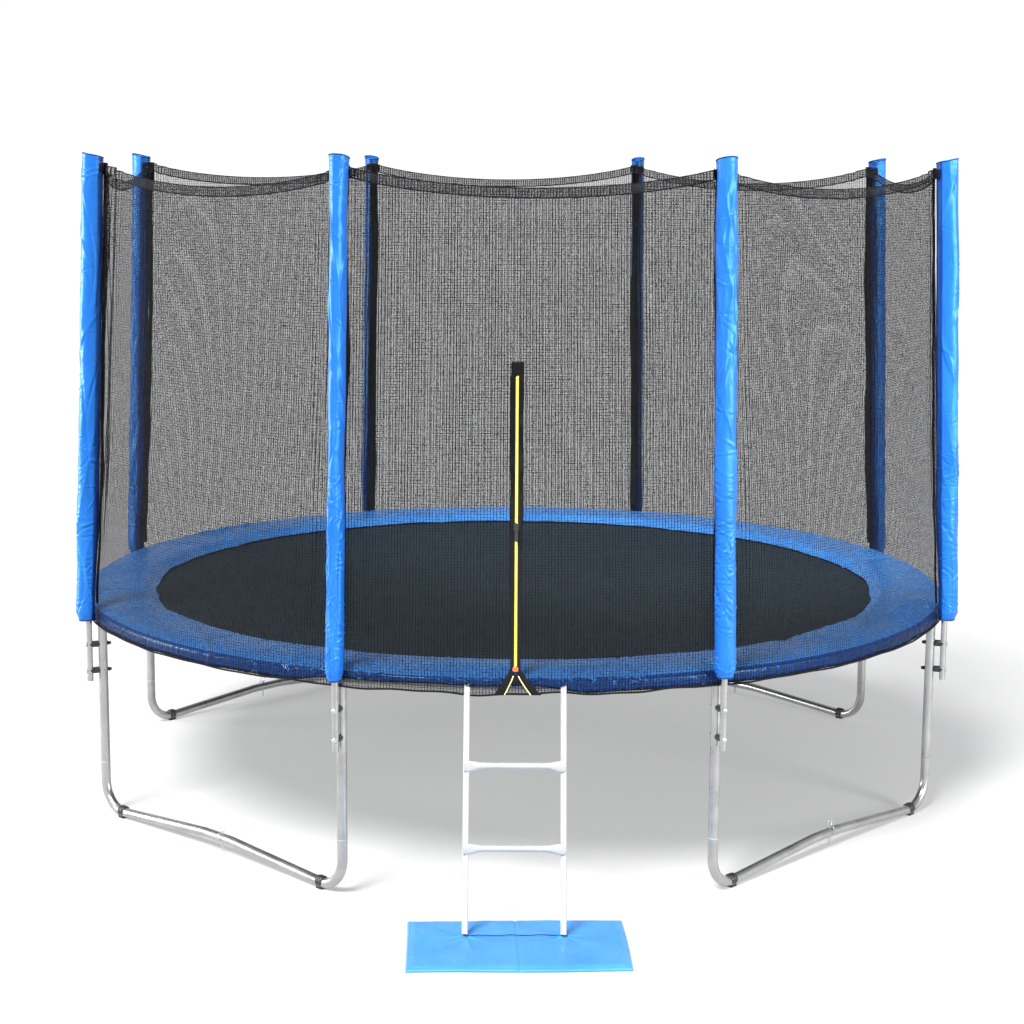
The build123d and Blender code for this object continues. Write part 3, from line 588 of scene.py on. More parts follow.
def build_rungs():
    """Rungs pressed flat and wide at their ends, where they meet the rails."""
    rungs = vertices("ladder_rungs")
    sides = 24
    turn = np.arange(sides) * TAU / sides
    split = 0.5 * (rungs[:, 2].min() + rungs[:, 2].max())
    parts = []
    for some in (rungs[rungs[:, 2] < split], rungs[rungs[:, 2] > split]):
        centre = 0.5 * (some.min(0) + some.max(0))
        out, across = bearings(math.atan2(centre[1], centre[0]))
        middle = some[np.abs((some - centre) @ across) < 0.08]
        axis_out = float(0.5 * ((middle @ out).min() + (middle @ out).max()))
        axis_up = float(0.5 * (middle[:, 2].min() + middle[:, 2].max()))
        reach = float(np.abs((some - centre) @ across).max()) - 0.006
        slide = float(centre @ across)
        end = np.linspace(0.7, 1, 16)
        t = np.concatenate([-end[::-1], np.linspace(-0.66, 0.66, 12), end]) * reach
        flare = eased((np.abs(t) - (reach - 0.075)) / 0.060)
        tall = 0.0110 + 0.0085 * flare
        deep = 0.0110 - 0.0070 * flare
        front = 0.009 * flare
        rings = (
            (slide + t)[:, None, None] * across
            + (axis_out + front[:, None] + deep[:, None] * np.cos(turn)[None, :])[..., None] * out
            + (axis_up + tall[:, None] * np.sin(turn)[None, :])[..., None] * UPWARD
        )
        faces = grid_faces(len(t), sides, wrap_columns=True).tolist()
        faces += [list(range(sides))[::-1], [(len(t) - 1) * sides + k for k in range(sides)]]
        parts.append((rings.reshape(-1, 3), faces))
    steps = make_piece("ladder_steps", *joined(parts), LADDER_PAINT, "white_ladder_steel", "ladder")
    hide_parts("ladder_rungs")


build_foot_caps()
build_collars()
build_rungs()


# ---------------------------------------------------------------- bed
def build_bed():
    """Taut round bed with a slight dish, and its turned hem."""
    low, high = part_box("jump_mat")
    radius = high.x
    top, bottom = high.z - 0.0004, low.z + 0.0004
    rings = np.concatenate([np.linspace(0.02, 0.94, 40), np.linspace(0.95, 1.0, 6)]) * radius
    angles = np.arange(240) * TAU / 240
    r, a = np.meshgrid(rings, angles, indexing="ij")
    dish = -0.010 * (1 - (r / radius) ** 2)
    ripple = 0.0012 * np.sin(a * 72) * np.clip((r / radius - 0.9) / 0.1, 0, 1) ** 2
    upper = polar(r, a, top + dish + ripple)
    lower = polar(r, a, bottom + dish + ripple)
    rows, columns = r.shape
    faces = grid_faces(rows, columns, wrap_columns=True)[:, ::-1].tolist()
    faces += grid_faces(rows, columns, wrap_columns=True, start=rows * columns).tolist()
    last = (rows - 1) * columns
    for j in range(columns):
        k = (j + 1) % columns
        faces.append([last + j, last + k, rows * columns + last + k, rows * columns + last + j])
    faces.append(list(range(columns)))
    faces.append([rows * columns + j for j in range(columns)][::-1])
    piece = make_piece("jump_bed", [upper, lower], faces, BED_WEAVE, "mat_weave", BED)
    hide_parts("jump_mat")
    hem_r = radius - np.array([0.052, 0.050, 0.002, 0.0005, 0.002, 0.050])
    middle, proud = 0.5 * (top + bottom), 0.0016
    hem_z = np.array([top, top + proud, top + proud, middle, bottom - proud, bottom - proud])
    count = 576
    hem_a = np.arange(count) * TAU / count
    pucker = 0.0006 * np.sin(hem_a * 144)[:, None] * np.array([0, 1, 1, 0, -1, -1])
    hem = polar(hem_r[None, :], hem_a[:, None], hem_z[None, :] + pucker)
    flat = pairs(hem_r[None, :], hem_a[:, None] * radius)
    faces = grid_faces(count, 6, wrap_rows=True, wrap_columns=True)
    hem_piece = make_piece("bed_hem", hem, faces, WEBBING, "black_webbing", BED, flat)
    loops = []
    reach = radius + np.array([-0.045, -0.010, 0.004, 0.0065, 0.004, -0.010, -0.045])
    height = np.array([0.0020, 0.0025, 0.0012])
    height = np.concatenate([top + height, [middle], bottom - height[::-1]])
    for angle in SPRING_ANGLES:
        out, side = bearings(angle)
        strip = out * reach[:, None] + UPWARD * height[:, None]
        points = np.concatenate([strip - 0.0125 * side, strip + 0.0125 * side])
        loops.append((points, [[i, i + 1, i + 8, i + 7] for i in range(6)]))
    loop_piece = make_trim("v_ring_loops", loops, body=BED)
    thicken(loop_piece, 0.0012)


build_bed()


# ---------------------------------------------------------------- springs
def spring_line(inner, outer, z):
    """Middle line of the wire of one spring along +X, from its eye to its outer hook."""
    coil, turns = 0.0094, 31
    t = np.linspace(0, 1, turns * 12)
    coil_x = inner + (outer - inner) * t
    phase = TAU * turns * t + math.pi / 2
    body = np.stack([coil_x, coil * np.cos(phase), z + coil * np.sin(phase)], 1)
    eye_centre = inner - 0.0205
    eye_turn = np.linspace(math.pi * 1.25, math.pi * 0.5, 12)
    eye_x, eye_z = 0.006 * np.cos(eye_turn), 0.006 * np.sin(eye_turn)
    eye = np.stack([eye_centre + eye_x, 0 * eye_turn, z + eye_z], 1)
    stem = np.array([[inner - 0.008, 0, z + 0.0065]])
    hook_x = outer + np.array([0.006, 0.014, 0.022, 0.026, 0.0265])
    hook_z = z + np.array([0.004, 0.0, 0.0, -0.003, -0.010])
    hook = np.stack([hook_x, 0 * hook_x, hook_z], 1)
    return np.concatenate([eye, stem, body, hook])


def build_springs():
    """One wound wire for each spring, stretching between the ring and the bed."""
    v_out = radial_span("v_rings")[1]
    outer = RING_RADIUS - 0.038
    inner = v_out + 0.020
    line = spring_line(inner, outer, RING_CENTRE)
    points, faces = tube(line, 0.0016, 6)
    for number, angle in enumerate(SPRING_ANGLES, 1):
        spin = np.array(Matrix.Rotation(angle, 3, "Z"))
        name = f"spring_{number:02d}"
        spring = make_piece(name, points @ spin.T, faces, SPRING_STEEL, "spring_steel", None)
        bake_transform(spring)
        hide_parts("springs")


build_springs()


# ---------------------------------------------------------------- spring pad
PAD_SEAMS = 8
PAD_SEAM_START = math.radians(12)
PAD_TOP_ROWS, PAD_UNDER_ROWS = 44, 8
PAD_ARC = 1.7
SKIRT_START = 0.86
CRUMPLED = ((-113, 0.12), (-96, 0.09), (-84, 0.12), (-26, 0.12), (140, 0.10))


def pad_wrinkles(a, s, crown, from_seam):
    """Height of the pad's creases, puckers and seams over its crowned shape."""
    arc, cross = a * PAD_ARC, s * (PAD_OUTER - PAD_INNER)
    loop = TAU * PAD_ARC
    height = 0.0060 * creases(arc, cross, 3, 90, (0, loop, 0.02, 0.29), 0.12, 0.010, 1.2, 0.3, loop)
    height += 0.0062 * creases(arc, cross, 8, 420, (0, loop, 0.20, 0.31), 0.035, 0.0045, 1.1, 0.5, loop)
    height += 0.0034 * creases(arc, cross, 12, 200, (0, loop, 0.0, 0.06), 0.028, 0.004, 1.25, 0.4, loop)
    for number, (bearing, spread) in enumerate(CRUMPLED):
        middle = math.radians(bearing) % TAU
        span = ((middle - spread) * PAD_ARC, (middle + spread) * PAD_ARC, 0.17, 0.30)
        height += 0.0110 * creases(arc, cross, 70 + number, 70, span, 0.055, 0.0065, 0.7, 0.7, loop)
    height += 0.004 * np.sin(a * 9 + 1.0) * np.sin(a * 5) * crown
    height -= 0.006 * bell(from_seam, 0.010) + 0.002 * bell(s - 0.10, 0.010) + 0.002 * bell(s - 0.87, 0.008)
    return 0.016 * np.tanh(height / 0.016)


def build_pad():
    """Sewn ring of PVC over foam: flat on the springs, crowned, and wrapped down over the ring."""
    columns = 2000
    angle = np.arange(columns) * TAU / columns
    top_share = np.concatenate([np.linspace(0, 0.06, 6)[:-1], np.linspace(0.06, 1, PAD_TOP_ROWS - 5)])
    across = np.concatenate([top_share, np.linspace(0.985, 0.02, PAD_UNDER_ROWS)])
    a, s = np.meshgrid(angle, across, indexing="ij")
    upper = np.broadcast_to(np.arange(len(across)) < PAD_TOP_ROWS, a.shape)
    seam = ((a - PAD_SEAM_START) / (TAU / PAD_SEAMS)) % 1.0
    from_seam = np.minimum(seam, 1 - seam) * TAU / PAD_SEAMS * PAD_ARC
    edge_wave = 0.005 * np.sin(a * 11 + 0.6) + 0.003 * np.sin(a * 23 + 2.0) + 0.002 * np.sin(a * 41)
    notch = 0.030 * bell(from_angle(a, math.radians(-52)), 0.022)
    inner = PAD_INNER + 0.008 + edge_wave + notch - 0.005 * bell(from_seam, 0.05)
    roof_edge = PAD_OUTER - 0.020
    from_door = from_angle(a, math.radians(-101))
    lifted = np.clip((from_door + 0.30) / 0.10, 0, 1) * np.clip((0.30 - from_door) / 0.10, 0, 1)
    skirt_foot = RING_CENTRE - 0.023 + 0.026 * lifted + 0.002 * np.sin(a * 31)
    roof = np.clip(s / SKIRT_START, 0, 1)
    fall = np.clip((s - SKIRT_START) / (1 - SKIRT_START), 0, 1)
    shoulder = np.sin(0.5 * math.pi * np.clip(fall / 0.55, 0, 1))
    r = inner + (roof_edge - inner) * roof + (PAD_OUTER - 0.0012 - roof_edge) * shoulder
    crown = np.clip(1 - np.abs(2 * roof - 1) ** 3.2, 0, 1) ** 0.6
    seat = RING_CENTRE + 0.005
    rest = PAD_LOW + 0.014 + 0.006 * roof
    ease = eased(roof / 0.16)
    roof_z = seat + 0.004 + (rest - seat - 0.004) * ease + 0.016 * crown * ease
    z = roof_z + (skirt_foot - roof_z) * fall**1.5
    height = np.where(upper, pad_wrinkles(a, s, crown, from_seam), 0)
    tube_rise = np.clip(1 - ((z - RING_CENTRE) / TUBE_RADIUS) ** 2, 0, 1)
    tube_reach = RING_RADIUS + TUBE_RADIUS * np.sqrt(tube_rise) + 0.0008
    room = np.maximum(PAD_OUTER - 0.0012 - tube_reach, 0.0)
    under_z = np.where(s < SKIRT_START, PAD_LOW - 0.0015, skirt_foot + 0.001)
    lip = seat + 0.001 + (PAD_LOW - 0.0025 - seat) * np.clip((s - 0.02) / 0.18, 0, 1)
    under_z = np.where(s < 0.2, lip, under_z)
    under_z = np.where((s >= SKIRT_START) & (s <= 0.95), PAD_LOW - 0.003, under_z)
    under_r = np.where(s > 0.95, PAD_OUTER - 0.0026, r)
    push = np.clip(height * fall, -np.minimum(room, 0.010), 0.0012)
    z = np.where(upper, z + height * (1 - fall), under_z)
    r = np.where(upper, r + push, under_r)
    flat = pairs(a * PAD_ARC, s * (PAD_OUTER - PAD_INNER) + np.where(upper, 0, 0.5))
    faces = grid_faces(columns, len(across), wrap_rows=True, wrap_columns=True)[:, ::-1]
    piece = make_piece("pad_ring", polar(r, a, z), faces, PAD_BLUE, "blue_pvc", cloth=flat)
    piece.data.materials.append(PAD_BLACK)
    under = np.zeros((columns, len(across)), int)
    under[:, PAD_TOP_ROWS:-1] = 1
    piece.data.polygons.foreach_set("material_index", under.ravel())
    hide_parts("spring_pad")
    path = polar(PAD_OUTER - 0.0022, angle, skirt_foot[:, 0])
    make_trim("pad_binding", [tube(path, 0.0022, 6, closed=True)])


build_pad()


# ---------------------------------------------------------------- net
SLEEVE_OUT = [0.046, 0.040, 0.038, 0.050, 0.044, 0.040, 0.042, 0.044]
SLEEVE_WIDTH = [0.064, 0.056, 0.072, 0.066, 0.062, 0.058, 0.060, 0.062]
NET_SAG = [0.085, 0.075, 0.080, 0.072, 0.085, 0.078, 0.070, 0.082]
NET_TOP = POLE_TOP - 0.012
BAND_TALL = 0.034
PANEL_STEPS = 96


def net_edge_radius(z):
    """Distance of the net's edge from the axis, just inside a pole."""
    lean = np.maximum(0.0, z - POLE_BEND) * POLE_SLOPE
    return NET_RADIUS + 0.0006 - lean


def panel_shares(count):
    """Steps across a panel, closer together near its poles."""
    t = np.arange(count) / count
    return t - 0.78 * np.sin(TAU * t) / TAU


def net_surface(panel, u, z):
    """Point of a net panel: round at the ring and straight between the pole tops."""
    start, end = PANELS[panel]
    angle = start + (end - start) * u
    edge = net_edge_radius(z)
    rise = np.clip((z - NET_SHOULDER) / (NET_TOP - NET_SHOULDER), 0, 1)
    round_x, round_y = edge * np.cos(angle), edge * np.sin(angle)
    chord_x = edge * (np.cos(start) + (np.cos(end) - np.cos(start)) * u)
    chord_y = edge * (np.sin(start) + (np.sin(end) - np.sin(start)) * u)
    x = round_x + (chord_x - round_x) * rise
    y = round_y + (chord_y - round_y) * rise
    return np.stack(np.broadcast_arrays(x, y, z), -1)


def above_ring(z):
    """0 at the ring and 1 well above it."""
    return np.clip((z - 0.93) / 0.5, 0, 1)


def net_folds(panel, u, z):
    """How far the net stands in or out: slack near the poles and folds from the top corners."""
    random = np.random.default_rng(40 + panel)
    span = 1.38
    height = above_ring(z)
    folds = np.zeros(np.broadcast(u, z).shape)
    for corner in (0.0, 1.0):
        away = np.abs(u - corner) * span
        drop = NET_TOP - z
        spin = np.arctan2(away, drop + 0.08)
        reach = np.hypot(away, drop)
        ray = np.sin(spin * random.uniform(26, 34) + random.uniform(0, TAU))
        folds += 0.0012 * ray * np.exp(-reach / 0.45) * np.clip(away / 0.05, 0, 1)
        slack = random.uniform(0.5, 1.5)
        near = bell(away, 0.13) * np.clip(away / 0.02, 0, 1)
        bend = 0.8 * np.sin(2.1 * z + random.uniform(0, TAU))
        bend += 0.5 * np.sin(5.3 * z + random.uniform(0, TAU))
        pleats = np.sin(away * 95 + 2 * bend + random.uniform(0, TAU)) - 0.6
        folds += slack * 0.013 * near * height * pleats
        folds -= 0.014 * height * bell(away, 0.06)
    folds += 0.006 * np.sin(z * 3.1 + 2 * u + panel) * np.sin(u * math.pi) * height
    return np.minimum(folds, 0.0015)


def hem_height(angle):
    """Height of the net's foot, drawn in under the ring and scalloped between its ties."""
    slack = bell(from_angle(angle, math.radians(-90)), 0.35)
    wave = np.sin(angle * 24 + 0.7) + 0.5 * np.sin(angle * 57)
    return RING_CENTRE - 0.027 + (0.0015 + 0.0035 * slack) * wave


def top_edge(panel, u):
    """Height of the net's top edge, sagging between two poles."""
    return NET_TOP - NET_SAG[panel] * (4 * u * (1 - u)) ** 0.85


def panel_strip(panel, foot, top, rows, bulge=0.0):
    """Points of one panel between two heights, given at each of its steps, and its flat shares."""
    u = panel_shares(PANEL_STEPS)
    share = np.linspace(0, 1, rows)
    z = foot[:, None] + (top - foot)[:, None] * share[None, :]
    uu = np.broadcast_to(u[:, None], z.shape)
    out, _ = bearings(0.5 * sum(PANELS[panel]))
    folds = net_folds(panel, uu, z) + bulge * np.sin(share * math.pi)[None, :]
    return net_surface(panel, uu, z) + out * folds[..., None], uu, z


def build_net():
    """All eight panels as one sheet that closes on itself round the trampoline."""
    rows = 70
    strips, flats, run = [], [], 0.0
    for panel, (start, end) in enumerate(PANELS):
        u = panel_shares(PANEL_STEPS)
        foot = hem_height(start + (end - start) * u)
        points, uu, z = panel_strip(panel, foot, top_edge(panel, u) - BAND_TALL, rows)
        strips.append(points)
        arc = (end - start) * NET_RADIUS
        flats.append(pairs(run + arc * uu, z))
        run += arc
    faces = grid_faces(8 * PANEL_STEPS, rows, wrap_rows=True)
    net = make_piece("net", strips, faces, NET, "net_mesh", cloth=flats)
    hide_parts("net_panels", "net_skirt")
    return net, run


def build_top_band():
    """Doubled edge of the net, hanging in a shallow curve from pole to pole."""
    rows = 6
    strips, flats = [], []
    for panel in range(8):
        top = top_edge(panel, panel_shares(PANEL_STEPS))
        points, uu, z = panel_strip(panel, top - BAND_TALL, top, rows, bulge=0.003)
        strips.append(points)
        flats.append(pairs(1.4 * (panel + uu), z))
    faces = grid_faces(8 * PANEL_STEPS, rows, wrap_rows=True)
    band = make_piece("net_band", strips, faces, NET_BAND, "black_webbing", cloth=flats)
    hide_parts("net_top_band")
    points = np.concatenate(strips)
    edges = ((points[:, 0], 0.0026), (points[:, -1], 0.0018))
    cord = make_trim("net_band_cord", [tube(path, radius, 6, closed=True) for path, radius in edges])
    return band, cord


def build_hem():
    """Elastic cord in the hem at the net's foot."""
    count = 900
    angle = np.arange(count) * TAU / count
    path = polar(NET_RADIUS + 0.0005, angle, hem_height(angle))
    return make_trim("net_hem", [tube(path, 0.0036, 8, closed=True)])


def strap_strip(number, angle, low):
    """Webbing down the inside of one pole, with its flat coordinates and faces."""
    rows, columns = 90, 5
    out, side = bearings(angle)
    z = low + (NET_TOP - low) * np.linspace(0, 1, rows)
    across = np.linspace(-0.5, 0.5, columns)
    reach = net_edge_radius(z) - 0.004 - 0.014 * above_ring(z) + 0.0015 * np.sin(z * 21 + number)
    width = 0.034 + 0.005 * np.sin(z * 9 + 2 * number)
    shift = 0.005 * np.sin(z * 6.3 + number * 1.7)
    fold = -0.004 * (2 * np.abs(across)) ** 2
    points = (
        out * (reach[:, None] + fold[None, :])[..., None]
        + side * (across[None, :] * width[:, None] + shift[:, None])[..., None]
        + UPWARD * z[:, None, None]
    )
    return points, pairs(across[None, :] * 0.034, z[:, None]), grid_faces(rows, columns)


def tie_strip(number, angle):
    """Short tape round the inside of one sleeve at the net's top corner."""
    rows, columns = 14, 13
    out, side = bearings(angle)
    rise = np.linspace(0, 1, rows)
    wrap = np.linspace(-1.0, 1.0, columns)
    z = NET_TOP - 0.004 - 0.034 * rise
    girth = 0.5 * SLEEVE_WIDTH[number] * 1.1 + 0.003 + 0.002 * np.sin(rise * math.pi)
    turn = math.pi + wrap * 1.15
    points = (
        out * (pole_radius_at(z)[:, None] + 0.044 * np.cos(turn)[None, :])[..., None]
        + side * (girth[:, None] * np.sin(turn)[None, :])[..., None]
        + UPWARD * (z[:, None] + 0.004 * np.sin(3 * turn)[None, :])[..., None]
    )
    return points, pairs(wrap[None, :] * 0.06, z[:, None]), grid_faces(rows, columns)


def build_straps():
    """Webbing where the net is sewn to each pole, and its tie at the top corner."""
    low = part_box("pole_straps")[0].z
    parts, flats = [], []
    for number, angle in enumerate(POSTS):
        for points, flat, faces in (strap_strip(number, angle, low), tie_strip(number, angle)):
            parts.append((points.reshape(-1, 3), faces))
            flats.append(flat.reshape(-1, 2))
    points, faces = joined(parts)
    flat = np.concatenate(flats)
    straps = make_piece("net_straps", points, faces, WEBBING, "black_webbing", cloth=flat)
    thicken(straps, 0.0016)
    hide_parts("pole_straps")
    return straps


# ---------------------------------------------------------------- door zip
UP = np.array(JOINTS["zip_travel"]["axis"])
ACROSS = -np.array(JOINTS["zip_tab_swing"]["axis"])
OUT = np.cross(ACROSS, UP)
ZIP_ORIGIN = np.array(JOINTS["zip_travel"]["pos_m"])


def on_door(x, t, lift):
    """Point on the door: across, up along the zip from the slider, and out from the coil's back."""
    x, t, lift = (np.asarray(value, float)[..., None] for value in (x, t, lift))
    return ZIP_ORIGIN + ACROSS * x + UP * t + OUT * lift


def door_along(z):
    return (z - ZIP_ORIGIN[2]) / UP[2]


def build_zip_tape():
    """Tape that the zip is sewn on, narrower where it is closed."""
    tape_low, tape_high = (door_along(corner.z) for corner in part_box("zip_tape"))
    rows, columns = 120, 9
    t = np.linspace(tape_low, tape_high, rows)
    share = np.linspace(-1, 1, columns)
    half = 0.0235 - 0.0045 * np.clip((0.0 - t) / 0.12, 0, 1) + 0.001 * np.sin(t * 31)
    shift = 0.0015 * np.sin(t * 13)
    x = share[None, :] * half[:, None] + shift[:, None]
    lift = -0.0009 - 0.0014 * np.abs(share)[None, :] ** 2 * (1 + np.sin(t * 43 + 1))[:, None]
    points = on_door(x, np.broadcast_to(t[:, None], x.shape), lift)
    flat, faces = pairs(x, t[:, None]), grid_faces(rows, columns)
    tape = make_piece("zip_tape_cloth", points, faces, WEBBING, "black_webbing", cloth=flat)
    thicken(tape, 0.0008)
    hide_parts("zip_tape")
    return tape


def build_teeth():
    """Moulded teeth, from the left and the right by turns."""
    coil_low, coil_high = (door_along(corner.z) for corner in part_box("zip_coil"))
    teeth, pitch = [], 0.0045
    profile_x = np.array([-1.0, 0.25, 1.0, 1.0, 0.25, -1.0])
    profile_t = np.array([-0.36, -0.36, -0.18, 0.18, 0.36, 0.36])
    faces = [[k, (k + 1) % 6, 6 + (k + 1) % 6, 6 + k] for k in range(6)]
    faces += [[6, 7, 8, 9, 10, 11], [5, 4, 3, 2, 1, 0]]
    for i in range(int((coil_high - coil_low) / pitch)):
        hand = 1 if i % 2 else -1
        centre_t = coil_low + (i + 0.5) * pitch
        ring_x = -hand * (profile_x * 0.0036 - 0.0016)
        ring_t = centre_t + profile_t * pitch * 1.6
        bottom = on_door(ring_x, ring_t, np.full(6, -0.0002))
        top = on_door(ring_x * 0.96, ring_t, np.full(6, 0.0019))
        teeth.append((np.concatenate([bottom, top]), faces))
    coil = make_piece("zip_teeth", *joined(teeth), ZIP_YELLOW, "zip_yellow", smooth=False)
    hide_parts("zip_coil")
    return coil


def build_flaps():
    """Below the zip the door's two edges part: black facings with pale piping and a gusset."""
    low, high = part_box("door_flaps")
    out, side = bearings(math.atan2(OUT[1], OUT[0]))
    base = NET_RADIUS + 0.0034
    top = high.z + 0.004
    parts, flats, pipes = [], [], []
    rows = 24
    t = np.linspace(0, 1, rows)
    for hand, foot in ((-1, -0.058), (1, 0.074)):
        centre = hand * 0.013 + (foot - hand * 0.013) * t**1.25
        half = 0.010 + 0.009 * t
        z = top - (top - low.z) * t
        columns = np.linspace(-1, 1, 4)
        reach = base + 0.003 * np.sin(t * math.pi)[:, None] * (1 - 0.4 * columns[None, :] ** 2)
        x = centre[:, None] + half[:, None] * columns[None, :]
        points = out * reach[..., None] + side * x[..., None] + UPWARD * z[:, None, None]
        parts.append((points.reshape(-1, 3), grid_faces(rows, 4).tolist()))
        flats.append(pairs(x, z[:, None]).reshape(-1, 2))
        inner = 0 if hand > 0 else -1
        pipes.append(tube(points[5:, inner] + out * 0.001, 0.0022, 6))
    gusset_z = np.linspace(top - 0.008, top - 0.040, 8)
    gusset_half = np.linspace(0.010, 0.022, 8)
    share = np.linspace(-1, 1, 7)
    x = gusset_half[:, None] * share[None, :] + 0.004
    droop = np.broadcast_to(gusset_z[:, None], x.shape) - 0.006 * (1 - share[None, :] ** 2)
    points = out * (base - 0.001) + side * x[..., None] + UPWARD * droop[..., None]
    parts.append((points.reshape(-1, 3), grid_faces(8, 7).tolist()))
    flats.append(pairs(x, droop).reshape(-1, 2))
    points, faces = joined(parts)
    flat = np.concatenate(flats)
    flaps = make_piece("door_facings", points, faces, WEBBING, "black_webbing", cloth=flat)
    thicken(flaps, 0.0014)
    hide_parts("door_flaps")
    piping = make_piece("door_piping", *joined(pipes), PIPING, "zip_yellow")
    return flaps, piping


net, net_run = build_net()
net_extras = [*build_top_band(), build_hem(), build_straps()]
net_extras += [build_zip_tape(), build_teeth(), *build_flaps()]


# ---------------------------------------------------------------- pole sleeves
def sleeve_rings(number, wall):
    """Rings of points up one loose sleeve: flattened, creased and crumpled near its foot."""
    angle = POSTS[number]
    rows, columns = 560, 84
    foot = SLEEVE_LOW - 0.006 + 0.010 * (number % 3)
    z = np.linspace(foot, SLEEVE_HIGH - 0.001, rows)
    turn = np.arange(columns) * TAU / columns
    zz, tt = np.meshgrid(z, turn, indexing="ij")
    rise = (zz - foot) / (SLEEVE_HIGH - foot)
    low_part = np.clip(1 - rise / 0.4, 0, 1)
    random = np.random.default_rng(300 + number)
    sway = sum(0.05 * np.sin(zz * k + random.uniform(0, TAU)) for k in (3.3, 7.9, 15.1))
    twist = 0.35 * np.sin(zz * 2.7 + random.uniform(0, TAU))
    twist = twist + 0.25 * np.sin(zz * 6.1 + random.uniform(0, TAU))
    out_reach = SLEEVE_OUT[number] * (1 + 0.5 * sway + 0.06 * low_part)
    in_reach = 0.026 + 0.012 * np.clip((zz - 0.95) / 0.3, 0, 1)
    width = 0.5 * SLEEVE_WIDTH[number] * (1 - sway + 0.16 * low_part)
    tuck = bell(zz - foot, 0.022)
    width, out_reach = width * (1 - 0.28 * tuck), out_reach * (1 - 0.22 * tuck)
    mouth = np.clip((rise - 0.97) / 0.03, 0, 1)
    width = width * (1 + 0.10 * mouth)
    c, s = np.cos(tt), np.sin(tt)
    reach = np.where(c > 0, out_reach, in_reach)
    x = reach * np.sign(c) * np.abs(c) ** 0.9
    y = width * np.sign(s) * np.abs(s) ** 0.9
    round_way = (tt + twist) % TAU * SLEEVE_ARC
    loop = TAU * SLEEVE_ARC
    span = (0, loop, foot, SLEEVE_HIGH)
    lower_span = (0, loop, foot, foot + 0.75)
    long_folds = creases(round_way, zz, 60 + number, 26, span, 0.26, 0.007, 1.45, 0.10, loop)
    folds = creases(round_way, zz, 90 + number, 60, span, 0.045, 0.0036, 0.55, 0.5, loop)
    crumple = creases(round_way, zz, 20 + number, 110, lower_span, 0.032, 0.0032, 0.45, 0.45, loop)
    height = 0.0060 * long_folds + 0.0042 * folds + 0.0052 * crumple
    hem = 0.0012 * bell(zz - SLEEVE_HIGH + 0.020, 0.0022)
    height = 0.008 * np.tanh(height / 0.008) * np.where(c < -0.2, 0.4, 1.0) - hem - wall
    size = np.hypot(x, y)
    x, y = x * (1 + height / size), y * (1 + height / size)
    x = np.maximum(x, -in_reach + wall)
    slope = 0.010 * (c - 1) * np.clip((rise - 0.9) / 0.1, 0, 1)
    radius = pole_radius_at(zz) + x
    out, side = bearings(angle)
    points = out * radius[..., None] + side * y[..., None] + UPWARD * (zz + slope)[..., None]
    return points, pairs(tt * SLEEVE_ARC, zz)


def build_sleeve(number):
    """One sleeve with its wall's thickness, and the bindings round its two ends."""
    outer, flat = sleeve_rings(number, 0.0)
    inner, _ = sleeve_rings(number, 0.0011)
    rows, columns = outer.shape[:2]
    size = rows * columns
    faces = grid_faces(rows, columns, wrap_columns=True).tolist()
    faces += grid_faces(rows, columns, wrap_columns=True, start=size)[:, ::-1].tolist()
    for row in (0, rows - 1):
        for j in range(columns):
            a, b = row * columns + j, row * columns + (j + 1) % columns
            quad = [a, b, size + b, size + a]
            faces.append(quad if row else quad[::-1])
    name = f"sleeve_{number + 1}"
    sleeve = make_piece(name, [outer, inner], faces, SLEEVE_BLUE, "blue_pvc", cloth=[flat, flat])
    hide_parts("pole_sleeves")
    bindings = [tube(outer[row], 0.0018, 6, closed=True) for row in (rows - 2, 1)]
    make_trim(f"sleeve_binding_{number + 1}", bindings, NAVY)


def build_foam():
    """Foam tubes round the poles, from the sleeves' feet to their open tops."""
    z = np.linspace(SLEEVE_LOW + 0.012, POLE_TOP - 0.004, 40)
    parts = [tube(polar(pole_radius_at(z), angle, z), 0.0215, 20) for angle in POSTS]
    foam_tubes = make_piece("foam_tubes", *joined(parts), FOAM, "grey_foam")
    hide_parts("pole_foam")


for number in range(8):
    build_sleeve(number)
build_foam()


